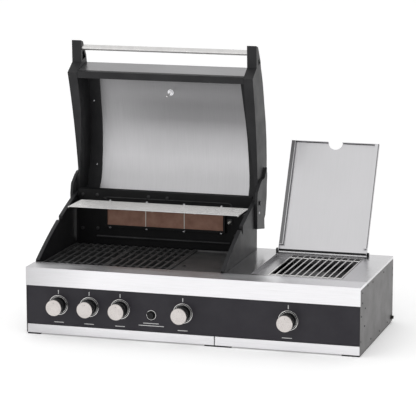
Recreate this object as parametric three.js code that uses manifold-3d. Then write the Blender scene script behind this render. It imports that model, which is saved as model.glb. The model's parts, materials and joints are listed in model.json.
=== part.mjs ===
// A countertop gas barbecue grill: a cast firebox with a large hinged lid on the left
// of a stainless worktop, and a side burner with its own hinged lid on the right.
// Millimetres. X runs to the cook's right, Y from the front to the back, Z up.
import * as THREE from "three";
import { mergeVertices } from "three/addons/utils/BufferGeometryUtils.js";
import Module from "manifold-3d";

const wasm = await Module();
wasm.setup();

// ---------------------------------------------------------------- driving dimensions
// Cabinet
const WIDTH = 1150; // over the side panels
const DEPTH = 520; // front of the fascia to the back of the worktop
const HEIGHT = 231; // floor to the top of the worktop
const SHEET = 1.5; // stainless and painted sheet
const GAP = 0.4; // between pieces that touch
const OVERLAP = 1; // how far joined shapes and cutting tools run into each other
const FOOT_HEIGHT = 4.6;
const FOOT_WIDTH = 46;
const RIGHT_FOOT_WIDTH = 60;
const FASCIA_HEIGHT = 62;
const RAIL_DEPTH = 91; // flat top of the front rail
const LIP = 10; // folded edges of the worktop and the rail
const PANEL_SETBACK = 6; // control panel behind the fascia
const PANEL_BOTTOM = 37;
const PANEL_REVEAL = 2; // between the panel and the strips under it
const SIDE_PANEL_REVEAL = 3; // side panels' front edges behind the fascia
const PANEL_THICKNESS = 2;
const VENT_ROWS = 3;
const VENT_COLUMNS = 5;
const VENT = { width: 60, height: 5, pitchX: 90, pitchZ: 16, base: 120 };

// Controls
const KNOB_HEIGHT = 106; // axis above the floor
const KNOB_PITCH = 109;
const FIRST_KNOB = 114; // from the cabinet's left side
const KNOB_RADIUS = 27.5;
const KNOB_LENGTH = 42;
const KNOB_TRAVEL = 4; // how far a knob can be pushed
const KNOB_STAND_OFF = 9; // knob's back to the panel: the bezel, the push travel and a clearance
const BEZEL_RADIUS = 34;
const BEZEL_THICKNESS = 3;
const SPINDLE_RADIUS = 4;
const BUTTON_RADIUS = 11;
const BUTTON_PROUD = 12; // igniter button ahead of the control panel
const BUTTON_DROP = 13; // igniter button's axis under the knobs' axes
const VALVE_SIZE = 26;
const BUTTON_TAIL = 22; // igniter's body behind the control panel
const SPLIT_SHIFT = 3.5; // joint of the lower strips beyond the firebox's right wall
const STRIP_GAP = 3; // between the two lower strips
const INLET_SETBACK = 30; // gas inlet's axis ahead of the worktop's back
const INLET_HEIGHT = 22;
const INLET_NUT = { radius: 9, length: 3 };
const INLET_THREAD = { radius: 6, length: 9 };
const SPINDLE_SOCKET = 8; // spindle's length inside its knob
const VALVE_BORE = 14;
const MANIFOLD_RADIUS = 9;
const MANIFOLD_END = 60; // pipe's ends inside the cabinet's sides
const MANIFOLD_SETBACK = 66; // manifold's axis behind the fascia

// Firebox
const FIREBOX_WIDTH = 666; // over the cast side walls
const FIREBOX_BACK = 13; // firebox's back to the worktop's back
const WALL_RIM = 13; // thickness of the walls' rims
const WALL_WEB = 5;
const WALL_RIB = 6; // ribs down the walls' ends and along their feet
const WALL_RIM_DEPTH = 9; // rims' depth below the lid joint
const WALL_BOTTOM = 66;
const WALL_FLOOR = 4; // thickness of shelves and of the floor
const PIN_HEAD = { radius: 8, length: 3 };
const RIM_FRONT_HEIGHT = 7; // lid joint above the worktop at the front
const RIM_RISE = 172; // lid joint's rise from front to back
const RIM_BULGE = 14; // how far the lid joint bows up in the middle
const RIM_GAP = 3; // between the lid's rim and the firebox's
const RIM_STEPS = 10;
const NOTCH_WIDTH = 26; // rotisserie notch in each side wall
const NOTCH_DEPTH = 26;
const NOTCH_SHIFT = 6; // behind the joint's middle
const GRATE_TOP = 225;
const GRATE_THICKNESS = 13;
const GRATE_WIDTH = 223;
const GRATE_BARS = 9;
const BAR_WIDTH = 9;
const TIE_DROP = 3.5; // cooking grates' ties below their bars
const TIE_PLACES = [0.16, 0.44, 0.68, 0.84]; // share of the grates' depth
const LEDGE = 46; // shelf that carries the grates' back ends
const RACK_HEIGHT = 371;
const RACK_DEPTH = 137;
const RACK_WIRES = 9;
const RACK_TIES = 5;
const RACK_WIRE = 3.4;
const RACK_BRACKET = 96; // shelves on the walls under the rack's ends
const BURNERS = 3;
const BURNER_RADIUS = 11;
const TENT_WIDTH = 96;
const TENT_HEIGHT = 38;
const TENT_BASE = 140;
const TENT_EDGE = { width: 4, height: 8 }; // steep lower edges of a tent
const REAR_BURNER_WIDTH = 440;
const REAR_BURNER_BASE = 285;
const REAR_BURNER_HEIGHT = 78;
const REAR_BURNER_SHIFT = 6; // to the right of the firebox's middle
const REAR_BURNER_LIP = 7; // frame around the tiles
const REAR_BURNER_WALL = 3;
const TILE_JOINT = 3;
const TILE_STAND_OFF = 12; // tiles' faces ahead of the firebox's back
const TRAY_HEIGHT = 26;
const TRAY_INSET = 14; // tray's sides inside the firebox walls
const TRAY_SETBACK = 20; // tray's back ahead of the firebox's back

// Lid, drawn shut in its own frame: u runs back along the joint, v away from it
const LID_OPENING = 101.8; // degrees
const LID_SIDE = 34; // width of the end castings at the front
const LID_SIDE_BACK = 11; // and at the hinge
const LID_OVERHANG = 2; // end castings outside the firebox walls
const LID_FRONT_HEIGHT = 111;
const LID_CROWN = 147;
const LID_NOSE = 9; // front face ahead of the joint's front end
const LID_TAIL = 57; // back of the lid behind the joint's back end
const LINER_SPACE = 12;
const FLANGE_WIDTH = 44; // flange inside an end casting at the front
const FLANGE_WIDTH_BACK = 24; // and at the hinge
const LID_DRAFT = { left: 9, right: 2 }; // how far the end castings lean in at the hinge
const BEAM_WIDTH = 25;
const BEAM_DEPTH = 14;
const ARM_THICKNESS = 8;
const PIVOT_AHEAD = 10; // hinge axis ahead of the joint's back end
const PIVOT_BELOW = 14;
const PIN_RADIUS = 5;
const HANDLE_RADIUS = 10;
const HANDLE_REACH = 64; // tube's axis ahead of the lid's front face
const HANDLE_RISE = 78; // and above the joint
const HANDLE_SEAT = 19; // length of the tube inside each ear
const DIAL_RADIUS = 31;
const DIAL_SETBACK = 95;
const DIAL_THICKNESS = 12;
const DIAL_EDGE = 3;
const STEM_RADIUS = 3;
const STEM_LENGTH = 66;
const STEM_HOLE = 5;

// Side burner
const WELL_LEFT = 87; // worktop between the firebox and the well
const WELL_WIDTH = 308;
const WELL_FRONT = 110;
const WELL_LENGTH = 338;
const WELL_DEPTH = 44;
const WELL_STEP = 50; // plain ledge left of the side grate
const SIDE_BARS = 12;
const SIDE_BAR_RADIUS = 2.6;
const SIDE_GRATE_DROP = 7; // bars' axes below the worktop
const SIDE_GRATE_INSET = 26; // legs and cross rods inside the bars' ends
const STEP_DROP = 12; // ledge below the well's flange
const STEP_THICKNESS = 2;
const FEED_RADIUS = 12; // hole for the side burner's supply
const SIDE_LID_LENGTH = 398.5;
const SIDE_LID_OPENING = 117.5; // degrees
const SIDE_LID_RETURN = 14; // edges folded in under the lid's cheeks
const SIDE_HINGE_HEIGHT = 8; // axis above the worktop
const SIDE_HINGE_BACK = 32; // axis behind the well
const SIDE_PIN_RADIUS = 3;
const HINGE_BLOCK = { width: 7, half: 6 };
const SIDE_LID_HALF = 6.2; // half the shut lid's thickness
const SIDE_LID_SPARE = 2.5; // lid's overlap at each side of the well
const THUMB_RADIUS = 25;

// ---------------------------------------------------------------- derived places
const radians = THREE.MathUtils.degToRad;
const LEFT = -WIDTH / 2;
const RIGHT = WIDTH / 2;
const SIDE_SHEET = SHEET + GAP;
const FIREBOX_CENTRE = LEFT + SIDE_SHEET + FIREBOX_WIDTH / 2;
const WALL_OUT = FIREBOX_WIDTH / 2;
const WALL_IN = WALL_OUT - WALL_RIM;
const FIREBOX_FRONT = RAIL_DEPTH + GAP;
const FIREBOX_REAR = DEPTH - FIREBOX_BACK;
const REAR_PLATE = FIREBOX_REAR - 17; // cooking-side face of the firebox's back
const FASCIA_BOTTOM = HEIGHT - FASCIA_HEIGHT;
const PANEL_BACK = PANEL_SETBACK + PANEL_THICKNESS;
const GRATE_BOTTOM = GRATE_TOP - GRATE_THICKNESS;
const JOINT_FRONT = new THREE.Vector2(FIREBOX_FRONT - 3, HEIGHT + RIM_FRONT_HEIGHT);
const JOINT_BACK = new THREE.Vector2(FIREBOX_REAR, JOINT_FRONT.y + RIM_RISE);
const JOINT = JOINT_BACK.clone().sub(JOINT_FRONT);
const JOINT_LENGTH = JOINT.length();
const JOINT_SLOPE = JOINT.angle();
const PIVOT = { u: JOINT_LENGTH - PIVOT_AHEAD, v: -PIVOT_BELOW };
const LID_OUT = WALL_OUT + LID_OVERHANG;
const LID_IN = LID_OUT - LID_SIDE;
const ARM_OUT = LID_OUT + ARM_THICKNESS;
const HANDLE = { u: -LID_NOSE - HANDLE_REACH, v: HANDLE_RISE };
const WELL_X = FIREBOX_CENTRE + WALL_OUT + WELL_LEFT;
const WELL_CENTRE = WELL_X + WELL_WIDTH / 2;
const WELL_BACK = WELL_FRONT + WELL_LENGTH;
const SIDE_AXIS = { y: WELL_BACK + SIDE_HINGE_BACK, z: HEIGHT + SIDE_HINGE_HEIGHT };
const CONTROLS = [0, 1, 2, 4].map((slot) => LEFT + FIRST_KNOB + slot * KNOB_PITCH);
const KNOB_X = [...CONTROLS, WELL_CENTRE];
const BUTTON_X = LEFT + FIRST_KNOB + 3 * KNOB_PITCH;
const KNOB_BACK = PANEL_SETBACK - KNOB_STAND_OFF;
const KNOB_FRONT = KNOB_BACK - KNOB_LENGTH;
const BURNER_X = [...Array(BURNERS).keys()].map(
  (i) => FIREBOX_CENTRE + ((2 * i + 1) / BURNERS - 1) * WALL_IN,
);
const REAR_BURNER_X = FIREBOX_CENTRE + REAR_BURNER_SHIFT;

// ---------------------------------------------------------------- finishes
const finish = (color, roughness, metalness) =>
  new THREE.MeshStandardMaterial({ color, roughness, metalness });
const STAINLESS = finish(0xc9c9cc, 0.35, 1);
const POLISHED = finish(0xe2e2e6, 0.18, 1);
const PANEL_PAINT = finish(0x3c3b40, 0.45, 0.3);
const SIDE_PAINT = finish(0x7a7878, 0.5, 0.4);
const CASTING = finish(0x47474b, 0.55, 0.3);
const LINING = finish(0x1b1b1d, 0.7, 0.2);
const CAST_IRON = finish(0x2a2a2b, 0.75, 0.4);
const BLACK = finish(0x161617, 0.5, 0);
const CERAMIC = finish(0x73554b, 0.9, 0);
const WHITE_CERAMIC = finish(0xe8e6e0, 0.4, 0);
const BRASS = finish(0xb08d4a, 0.35, 1);

// ---------------------------------------------------------------- shape helpers
// A closed geometry as a solid that can be joined and cut.
function solidOf(geometry) {
  const bare = geometry.clone();
  bare.deleteAttribute("normal");
  bare.deleteAttribute("uv");
  const merged = mergeVertices(bare, 1e-4);
  const vertProperties = new Float32Array(merged.attributes.position.array);
  const triVerts = new Uint32Array(merged.index.array);
  return new wasm.Manifold(new wasm.Mesh({ numProp: 3, vertProperties, triVerts }));
}

function geometryOf(solid) {
  const mesh = solid.getMesh();
  const geometry = new THREE.BufferGeometry();
  geometry.setAttribute("position", new THREE.BufferAttribute(mesh.vertProperties, 3));
  geometry.setIndex(new THREE.BufferAttribute(mesh.triVerts, 1));
  return geometry;
}

const join = (...parts) =>
  geometryOf(parts.map(solidOf).reduce((whole, part) => whole.add(part)));

const cut = (base, ...tools) =>
  geometryOf(tools.map(solidOf).reduce((rest, tool) => rest.subtract(tool), solidOf(base)));

function box(xa, xb, ya, yb, za, zb) {
  const geometry = new THREE.BoxGeometry(Math.abs(xb - xa), yb - ya, zb - za);
  return geometry.translate((xa + xb) / 2, (ya + yb) / 2, (za + zb) / 2);
}

const shapeOf = (points) => new THREE.Shape(points.map(([a, b]) => new THREE.Vector2(a, b)));

function extruded(points, length, basis) {
  const ordered = THREE.ShapeUtils.isClockWise(points.map(([x, y]) => ({ x, y })))
    ? [...points].reverse()
    : points;
  const geometry = new THREE.ExtrudeGeometry(shapeOf(ordered), {
    depth: length,
    bevelEnabled: false,
  });
  return geometry.applyMatrix4(new THREE.Matrix4().makeBasis(...basis));
}

const X_AXIS = new THREE.Vector3(1, 0, 0);
const Y_AXIS = new THREE.Vector3(0, 1, 0);
const Z_AXIS = new THREE.Vector3(0, 0, 1);

// An outline of [y, z] points carried along X.
const acrossX = (points, xa, xb) =>
  extruded(points, Math.abs(xb - xa), [Y_AXIS, Z_AXIS, X_AXIS]).translate(
    Math.min(xa, xb), 0, 0,
  );

// An outline of [x, z] points carried along Y.
const acrossY = (points, ya, yb) =>
  extruded(points, yb - ya, [X_AXIS, Z_AXIS, Y_AXIS.clone().negate()]).translate(0, yb, 0);

// An outline of [x, y] points carried along Z.
const acrossZ = (points, za, zb) =>
  extruded(points, zb - za, [X_AXIS, Y_AXIS, Z_AXIS]).translate(0, 0, za);

// A round bar between two points.
function rod(from, to, radius, sides = 12) {
  const a = new THREE.Vector3(...from);
  const b = new THREE.Vector3(...to);
  const along = b.clone().sub(a);
  const geometry = new THREE.CylinderGeometry(radius, radius, along.length(), sides);
  const turn = new THREE.Quaternion().setFromUnitVectors(Y_AXIS, along.normalize());
  return geometry.applyQuaternion(turn).translate(...a.add(b).divideScalar(2).toArray());
}

// A turned piece: [radius, place along Y] points that start and end on the axis, or close.
function turned(profile, sides) {
  const points = profile.map(([r, y]) => new THREE.Vector2(r, y));
  return new THREE.LatheGeometry(points, sides);
}

// An open line of [u, v] points moved to its right by a distance, with mitred corners.
function offsetLine(line, distance) {
  const normal = (i) => {
    const [u0, v0] = line[i];
    const [u1, v1] = line[i + 1];
    const length = Math.hypot(u1 - u0, v1 - v0);
    return [(v1 - v0) / length, (u0 - u1) / length];
  };
  return line.map(([u, v], i) => {
    const before = normal(Math.max(i - 1, 0));
    const after = normal(Math.min(i, line.length - 2));
    const share = distance / (1 + before[0] * after[0] + before[1] * after[1]);
    return [u + (before[0] + after[0]) * share, v + (before[1] + after[1]) * share];
  });
}

// A band of the given thickness on the right-hand, inner side of a line.
const band = (line, thickness, inset = 0) => [
  ...offsetLine(line, inset),
  ...offsetLine(line, inset + thickness).reverse(),
];

function mesh(name, geometry, material) {
  const made = new THREE.Mesh(geometry, material);
  made.name = name;
  return made;
}

// Place across the firebox, measured from its middle; side is -1 for left and 1 for right.
const across = (side, offset) => FIREBOX_CENTRE + side * offset;
const SIDES = { left: -1, right: 1 };

// ---------------------------------------------------------------- the lid's joint
// A point of the lid's frame in the cabinet's frame, as [y, z], with the lid shut.
function shut(u, v) {
  const point = new THREE.Vector2(u, v).rotateAround(new THREE.Vector2(), JOINT_SLOPE);
  return [JOINT_FRONT.x + point.x, JOINT_FRONT.y + point.y];
}

const bulge = (u) => {
  const share = u / JOINT_LENGTH;
  return 4 * RIM_BULGE * share * (1 - share);
};

// Points along the joint, from the front to the back, raised by a height.
function jointLine(from, to, height, steps) {
  return [...Array(steps + 1).keys()].map((i) => {
    const u = from + ((to - from) * i) / steps;
    return [u, bulge(u) + height];
  });
}

const [PIVOT_Y, PIVOT_Z] = shut(PIVOT.u, PIVOT.v);

// ---------------------------------------------------------------- cabinet
function frontRail() {
  const profile = [
    [0, FASCIA_BOTTOM],
    [0, HEIGHT],
    [RAIL_DEPTH, HEIGHT],
    [RAIL_DEPTH, HEIGHT - LIP],
    [RAIL_DEPTH - SHEET, HEIGHT - LIP],
    [RAIL_DEPTH - SHEET, HEIGHT - SHEET],
    [SHEET, HEIGHT - SHEET],
    [SHEET, FASCIA_BOTTOM],
  ];
  const half = SHEET / 2;
  const lip = (x) =>
    box(x, x + SHEET, half, RAIL_DEPTH - half, HEIGHT - LIP + half, HEIGHT - half);
  const edge = SIDE_SHEET + GAP;
  const fold = box(
    LEFT + edge, RIGHT - edge, half, PANEL_BACK + LIP, FASCIA_BOTTOM, FASCIA_BOTTOM + SHEET,
  );
  return join(acrossX(profile, LEFT, RIGHT), lip(LEFT), lip(RIGHT - SHEET), fold);
}

function worktop() {
  const inner = FIREBOX_CENTRE + WALL_OUT + GAP;
  const outline = [
    [inner, RAIL_DEPTH + GAP],
    [RIGHT, RAIL_DEPTH + GAP],
    [RIGHT, DEPTH],
    [LEFT, DEPTH],
    [LEFT, FIREBOX_REAR + GAP],
    [inner, FIREBOX_REAR + GAP],
  ];
  const sheet = acrossZ(outline, HEIGHT - SHEET, HEIGHT);
  const half = SHEET / 2;
  const right = box(
    RIGHT - SHEET, RIGHT, RAIL_DEPTH + GAP + half, DEPTH - half,
    HEIGHT - LIP + half, HEIGHT - half,
  );
  const back = box(
    LEFT + half, RIGHT - half, DEPTH - SHEET, DEPTH, HEIGHT - LIP, HEIGHT - half,
  );
  const well = box(
    WELL_X, WELL_X + WELL_WIDTH, WELL_FRONT, WELL_BACK, HEIGHT - LIP, HEIGHT + LIP,
  );
  return cut(join(sheet, right, back), well);
}

function controlPanel() {
  const edge = SIDE_SHEET + GAP;
  const plate = box(
    LEFT + edge, RIGHT - edge, PANEL_SETBACK, PANEL_BACK, PANEL_BOTTOM, FASCIA_BOTTOM - GAP,
  );
  const hole = (x, z, radius) => rod([x, 0, z], [x, 2 * PANEL_BACK, z], radius, 16);
  const knobs = KNOB_X.map((x) => hole(x, KNOB_HEIGHT, 2 * SPINDLE_RADIUS));
  const button = hole(BUTTON_X, KNOB_HEIGHT - BUTTON_DROP, BUTTON_RADIUS + GAP);
  return cut(plate, ...knobs, button);
}

// The lower strips: the left one is the front of the grease tray.
const STRIP_SPLIT = FIREBOX_CENTRE + WALL_IN + SPLIT_SHIFT;
const STRIP_TOP = PANEL_BOTTOM - PANEL_REVEAL;
const strip = (xa, xb) =>
  box(xa, xb, PANEL_SETBACK, PANEL_BACK, FOOT_HEIGHT + GAP, STRIP_TOP);

function sidePanel(side) {
  const outer = side * (WIDTH / 2);
  const inner = side * (WIDTH / 2 - SHEET);
  const top = HEIGHT - LIP - GAP;
  return box(
    inner, outer, SIDE_PANEL_REVEAL, DEPTH - SIDE_SHEET - GAP, FOOT_HEIGHT + GAP, top,
  );
}

function rearPanel() {
  const edge = SIDE_SHEET;
  const back = DEPTH - SIDE_SHEET;
  const plate = box(
    LEFT + edge, RIGHT - edge, back - SHEET, back, FOOT_HEIGHT + GAP, HEIGHT - SHEET - GAP,
  );
  const first = WELL_X - VENT.width / 2 - 18;
  const tools = [];
  for (let column = 0; column < VENT_COLUMNS; column += 1) {
    for (let row = 0; row < VENT_ROWS; row += 1) {
      const x = first + column * VENT.pitchX;
      const z = VENT.base + row * VENT.pitchZ;
      tools.push(box(x, x + VENT.width, back - 2 * LIP, back + LIP, z, z + VENT.height));
    }
  }
  return cut(plate, ...tools);
}

const BASE_TOP = FOOT_HEIGHT + GAP + SHEET;
function basePan() {
  const edge = SIDE_SHEET;
  const back = DEPTH - SIDE_SHEET - SHEET - GAP;
  return box(
    LEFT + edge, RIGHT - edge, PANEL_BACK + GAP, back, FOOT_HEIGHT + GAP, BASE_TOP,
  );
}

function footRail(centre, width) {
  return box(
    centre - width / 2, centre + width / 2, PANEL_SETBACK, DEPTH - 2 * LIP, 0, FOOT_HEIGHT,
  );
}

const FEET = {
  left: [LEFT + SIDE_SHEET + FOOT_WIDTH / 2, FOOT_WIDTH],
  middle: [STRIP_SPLIT + FOOT_WIDTH / 4, 2 * FOOT_WIDTH],
  right: [RIGHT - SIDE_SHEET - RIGHT_FOOT_WIDTH / 2, RIGHT_FOOT_WIDTH],
};

// ---------------------------------------------------------------- controls and gas
// A knob with a blind socket for its spindle. The flat on the real spindle is left round.
function knob(x) {
  const socket = SPINDLE_RADIUS + GAP;
  const face = 7;
  const depth = 18;
  const profile = [
    [0, KNOB_FRONT],
    [KNOB_RADIUS, KNOB_FRONT],
    [KNOB_RADIUS, KNOB_FRONT + face],
    [KNOB_RADIUS - 2, KNOB_FRONT + face],
    [KNOB_RADIUS - 3, KNOB_BACK],
    [socket, KNOB_BACK],
    [socket, KNOB_BACK - depth],
    [0, KNOB_BACK - depth],
  ];
  return turned(profile, 20).translate(x, 0, KNOB_HEIGHT);
}

function bezel(x) {
  const back = PANEL_SETBACK - GAP;
  const hole = 2 * SPINDLE_RADIUS;
  const front = back - BEZEL_THICKNESS;
  const profile = [
    [hole, front],
    [BEZEL_RADIUS - 2, front],
    [BEZEL_RADIUS, back],
    [hole, back],
    [hole, front],
  ];
  return turned(profile, 20).translate(x, 0, KNOB_HEIGHT);
}

const SPINDLE_FRONT = KNOB_BACK - SPINDLE_SOCKET;
const SPINDLE_BACK = MANIFOLD_SETBACK - VALVE_SIZE - KNOB_TRAVEL;
const spindle = (x) =>
  rod([x, SPINDLE_FRONT, KNOB_HEIGHT], [x, SPINDLE_BACK, KNOB_HEIGHT], SPINDLE_RADIUS, 10);

// The supply pipe with its five valve bodies; each body is bored for its spindle.
function gasManifold() {
  const end = (x) => [x, MANIFOLD_SETBACK, KNOB_HEIGHT];
  const pipe = rod(end(LEFT + MANIFOLD_END), end(RIGHT - MANIFOLD_END), MANIFOLD_RADIUS);
  const half = VALVE_SIZE / 2;
  const front = SPINDLE_BACK - VALVE_BORE;
  const bodies = KNOB_X.map((x) =>
    box(x - half, x + half, front, MANIFOLD_SETBACK, KNOB_HEIGHT - half, KNOB_HEIGHT + half),
  );
  const bores = KNOB_X.map((x) =>
    rod(
      [x, front - OVERLAP, KNOB_HEIGHT], [x, SPINDLE_BACK + OVERLAP, KNOB_HEIGHT],
      SPINDLE_RADIUS + GAP, 10,
    ),
  );
  return cut(join(pipe, ...bodies), ...bores);
}

function igniterButton() {
  const z = KNOB_HEIGHT - BUTTON_DROP;
  const front = PANEL_SETBACK - BUTTON_PROUD;
  return rod([BUTTON_X, front, z], [BUTTON_X, PANEL_BACK + BUTTON_TAIL, z], BUTTON_RADIUS, 16);
}

function gasInlet() {
  const y = DEPTH - INLET_SETBACK;
  const z = INLET_HEIGHT;
  const face = RIGHT + GAP;
  const nut = rod([face, y, z], [face + INLET_NUT.length, y, z], INLET_NUT.radius, 6);
  const thread = rod([face, y, z], [face + INLET_THREAD.length, y, z], INLET_THREAD.radius);
  return join(nut, thread);
}

// ---------------------------------------------------------------- firebox
// A cast side wall: thin web, thick rim along the lid joint, rotisserie notch, rack shelf,
// and the boss and pin that the lid's arm turns on.
function fireboxWall(side) {
  const rim = jointLine(RIM_GAP, JOINT_LENGTH - 16, -RIM_GAP, RIM_STEPS);
  const outline = [
    [FIREBOX_FRONT, WALL_BOTTOM],
    ...rim.map(([u, v]) => shut(u, v)),
    [FIREBOX_REAR, PIVOT_Z],
    [FIREBOX_REAR, WALL_BOTTOM],
  ];
  const web = acrossX(outline, across(side, WALL_OUT), across(side, WALL_OUT - WALL_WEB));
  const edge = acrossX(
    band(rim, WALL_RIM_DEPTH).map(([u, v]) => shut(u, v)), across(side, WALL_OUT), across(side, WALL_IN),
  );
  const rib = (ya, yb, zb) =>
    box(across(side, WALL_OUT - OVERLAP), across(side, WALL_IN), ya, yb, WALL_BOTTOM, zb);
  const ribs = [
    rib(FIREBOX_FRONT, FIREBOX_FRONT + WALL_RIB, HEIGHT - LIP / 2),
    rib(FIREBOX_REAR - WALL_RIB, FIREBOX_REAR, PIVOT_Z),
    rib(FIREBOX_FRONT, FIREBOX_REAR, WALL_BOTTOM + WALL_RIB),
  ];
  const shelf = box(
    across(side, WALL_OUT - OVERLAP), across(side, WALL_IN - 2 * WALL_FLOOR),
    REAR_PLATE - RACK_BRACKET, REAR_PLATE - GAP, RACK_HEIGHT - 2 * WALL_FLOOR, RACK_HEIGHT - GAP,
  );
  const boss = rod(
    [across(side, WALL_IN), PIVOT_Y, PIVOT_Z], [across(side, WALL_OUT), PIVOT_Y, PIVOT_Z],
    PIVOT_BELOW - RIM_GAP, 20,
  );
  const pin = rod(
    [across(side, WALL_IN), PIVOT_Y, PIVOT_Z],
    [across(side, ARM_OUT + PIN_HEAD.length), PIVOT_Y, PIVOT_Z],
    PIN_RADIUS, 16,
  );
  const head = rod(
    [across(side, ARM_OUT + OVERLAP), PIVOT_Y, PIVOT_Z],
    [across(side, ARM_OUT + OVERLAP + PIN_HEAD.length), PIVOT_Y, PIVOT_Z],
    PIN_HEAD.radius, 6,
  );
  return cut(join(web, edge, ...ribs, shelf, boss, pin, head), notch(side));
}

// The notch drops from the joint's middle and leans back under its rear lip.
function notch(side) {
  const u = JOINT_LENGTH / 2 + NOTCH_SHIFT;
  const [y, z] = shut(u, bulge(u));
  const outline = [
    [y, z + NOTCH_DEPTH],
    [y, z - 2],
    [y + NOTCH_WIDTH, z - NOTCH_DEPTH],
    [y + NOTCH_WIDTH - 3, z + NOTCH_DEPTH],
  ];
  return acrossX(outline, across(side, WALL_OUT + OVERLAP), across(side, WALL_IN - OVERLAP));
}

const SHELF_TOP = GRATE_BOTTOM - GAP;

// The firebox's back casting, with the shelf for the grates and a flanged top.
function fireboxRear() {
  const top = JOINT_BACK.y + WALL_FLOOR;
  const wall = WALL_WEB;
  const lip = FIREBOX_REAR - WALL_FLOOR;
  const outline = [
    [REAR_PLATE, WALL_BOTTOM],
    [REAR_PLATE, SHELF_TOP - WALL_FLOOR],
    [REAR_PLATE - LEDGE, SHELF_TOP - WALL_FLOOR],
    [REAR_PLATE - LEDGE, SHELF_TOP],
    [REAR_PLATE, SHELF_TOP],
    [REAR_PLATE, top],
    [lip, top + WALL_FLOOR],
    [lip, top - WALL_FLOOR / 2],
    [REAR_PLATE + wall, top - 2 * WALL_FLOOR],
    [REAR_PLATE + wall, WALL_BOTTOM],
  ];
  const half = WALL_IN - GAP;
  const plate = acrossX(outline, across(-1, half), across(1, half));
  const clearance = 1.5;
  const bossRoom = (side) =>
    rod(
      [across(side, WALL_IN + OVERLAP), PIVOT_Y, PIVOT_Z],
      [across(side, WALL_IN - 2 * OVERLAP), PIVOT_Y, PIVOT_Z],
      PIVOT_BELOW + clearance,
    );
  return cut(plate, bossRoom(-1), bossRoom(1));
}

// Front wall and floor of the firebox in one pressing, with a drain and burner holes.
const FLOOR_TOP = WALL_BOTTOM + WALL_FLOOR;
const FRONT_WALL = 3;
const DRAIN = { half: 60, front: 240, back: 340 };
function fireboxPan() {
  const back = REAR_PLATE - GAP;
  const shelf = 12;
  const inner = FIREBOX_FRONT + FRONT_WALL;
  const outline = [
    [FIREBOX_FRONT, WALL_BOTTOM],
    [FIREBOX_FRONT, HEIGHT - LIP / 2],
    [inner, HEIGHT - LIP / 2],
    [inner, SHELF_TOP],
    [inner + shelf, SHELF_TOP],
    [inner + shelf, SHELF_TOP - WALL_FLOOR],
    [inner, SHELF_TOP - WALL_FLOOR],
    [inner, FLOOR_TOP],
    [back, FLOOR_TOP],
    [back, WALL_BOTTOM],
  ];
  const half = WALL_IN - OVERLAP;
  const pressing = acrossX(outline, across(-1, half), across(1, half));
  const drain = box(
    across(-1, DRAIN.half), across(1, DRAIN.half), DRAIN.front, DRAIN.back,
    WALL_BOTTOM - LIP, FLOOR_TOP + LIP,
  );
  const inlets = CONTROLS.slice(0, BURNERS).map((x) =>
    rod(
      [x, FIREBOX_FRONT - LIP, KNOB_HEIGHT], [x, FIREBOX_FRONT + LIP, KNOB_HEIGHT],
      BURNER_RADIUS + 2,
    ),
  );
  return cut(pressing, drain, ...inlets);
}

// A tube burner: the mixing tube starts at its valve and steps sideways to its place.
function burner(index) {
  const x = CONTROLS[index];
  const place = BURNER_X[index];
  const nearest = FIREBOX_FRONT + 28;
  const turn = nearest + (BURNERS - 1 - index) * 3 * BURNER_RADIUS;
  const end = REAR_PLATE - 30;
  const z = KNOB_HEIGHT;
  const mouth = MANIFOLD_SETBACK + 12;
  const half = 3;
  const inlet = rod([x, mouth, z], [x, turn, z], BURNER_RADIUS, 10);
  const crossing = rod([x, turn, z], [place, turn, z], BURNER_RADIUS - 1, 10);
  const tube = rod([place, turn - BURNER_RADIUS, z], [place, end, z], BURNER_RADIUS + 1, 10);
  const port = 4 * BURNER_RADIUS;
  const spread = box(
    place - port / 2, place + port / 2, turn + 30, end - 20, z - half, z + half,
  );
  return join(inlet, crossing, tube, spread);
}

// A bent sheet over each burner that spreads the heat and sheds the fat.
function heatTent(x) {
  const half = TENT_WIDTH / 2;
  const line = [
    [x - half, TENT_BASE],
    [x - half + TENT_EDGE.width, TENT_BASE + TENT_EDGE.height],
    [x, TENT_BASE + TENT_HEIGHT],
    [x + half - TENT_EDGE.width, TENT_BASE + TENT_EDGE.height],
    [x + half, TENT_BASE],
  ];
  return acrossY(band(line, SHEET), FIREBOX_FRONT + 20, REAR_PLATE - 14);
}

// A cooking grate: bars front to back between two end bars, held by lower ties.
const PLATE_GAP = 1; // around each cooking plate
const PLATE_REST = 14; // length of a plate on the rear ledge
const GRATE_FRONT = FIREBOX_FRONT + FRONT_WALL + PLATE_GAP;
const GRATE_BACK = REAR_PLATE - LEDGE + PLATE_REST;
const PLATES_LEFT = FIREBOX_CENTRE - WALL_IN + PLATE_GAP;
function grate(xa) {
  const xb = xa + GRATE_WIDTH - PLATE_GAP;
  const bars = [...Array(GRATE_BARS).keys()].map((i) => {
    const x = xa + (i * (xb - xa - BAR_WIDTH)) / (GRATE_BARS - 1);
    return box(x, x + BAR_WIDTH, GRATE_FRONT, GRATE_BACK, GRATE_BOTTOM, GRATE_TOP);
  });
  const tie = (y, drop) => box(xa, xb, y, y + BAR_WIDTH, GRATE_BOTTOM, GRATE_TOP - drop);
  const length = GRATE_BACK - GRATE_FRONT;
  const ends = [GRATE_FRONT, GRATE_BACK - BAR_WIDTH].map((y) => tie(y, 3));
  const ties = TIE_PLACES.map((share) => tie(GRATE_FRONT + share * length, TIE_DROP));
  return join(...bars, ...ends, ...ties);
}

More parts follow.
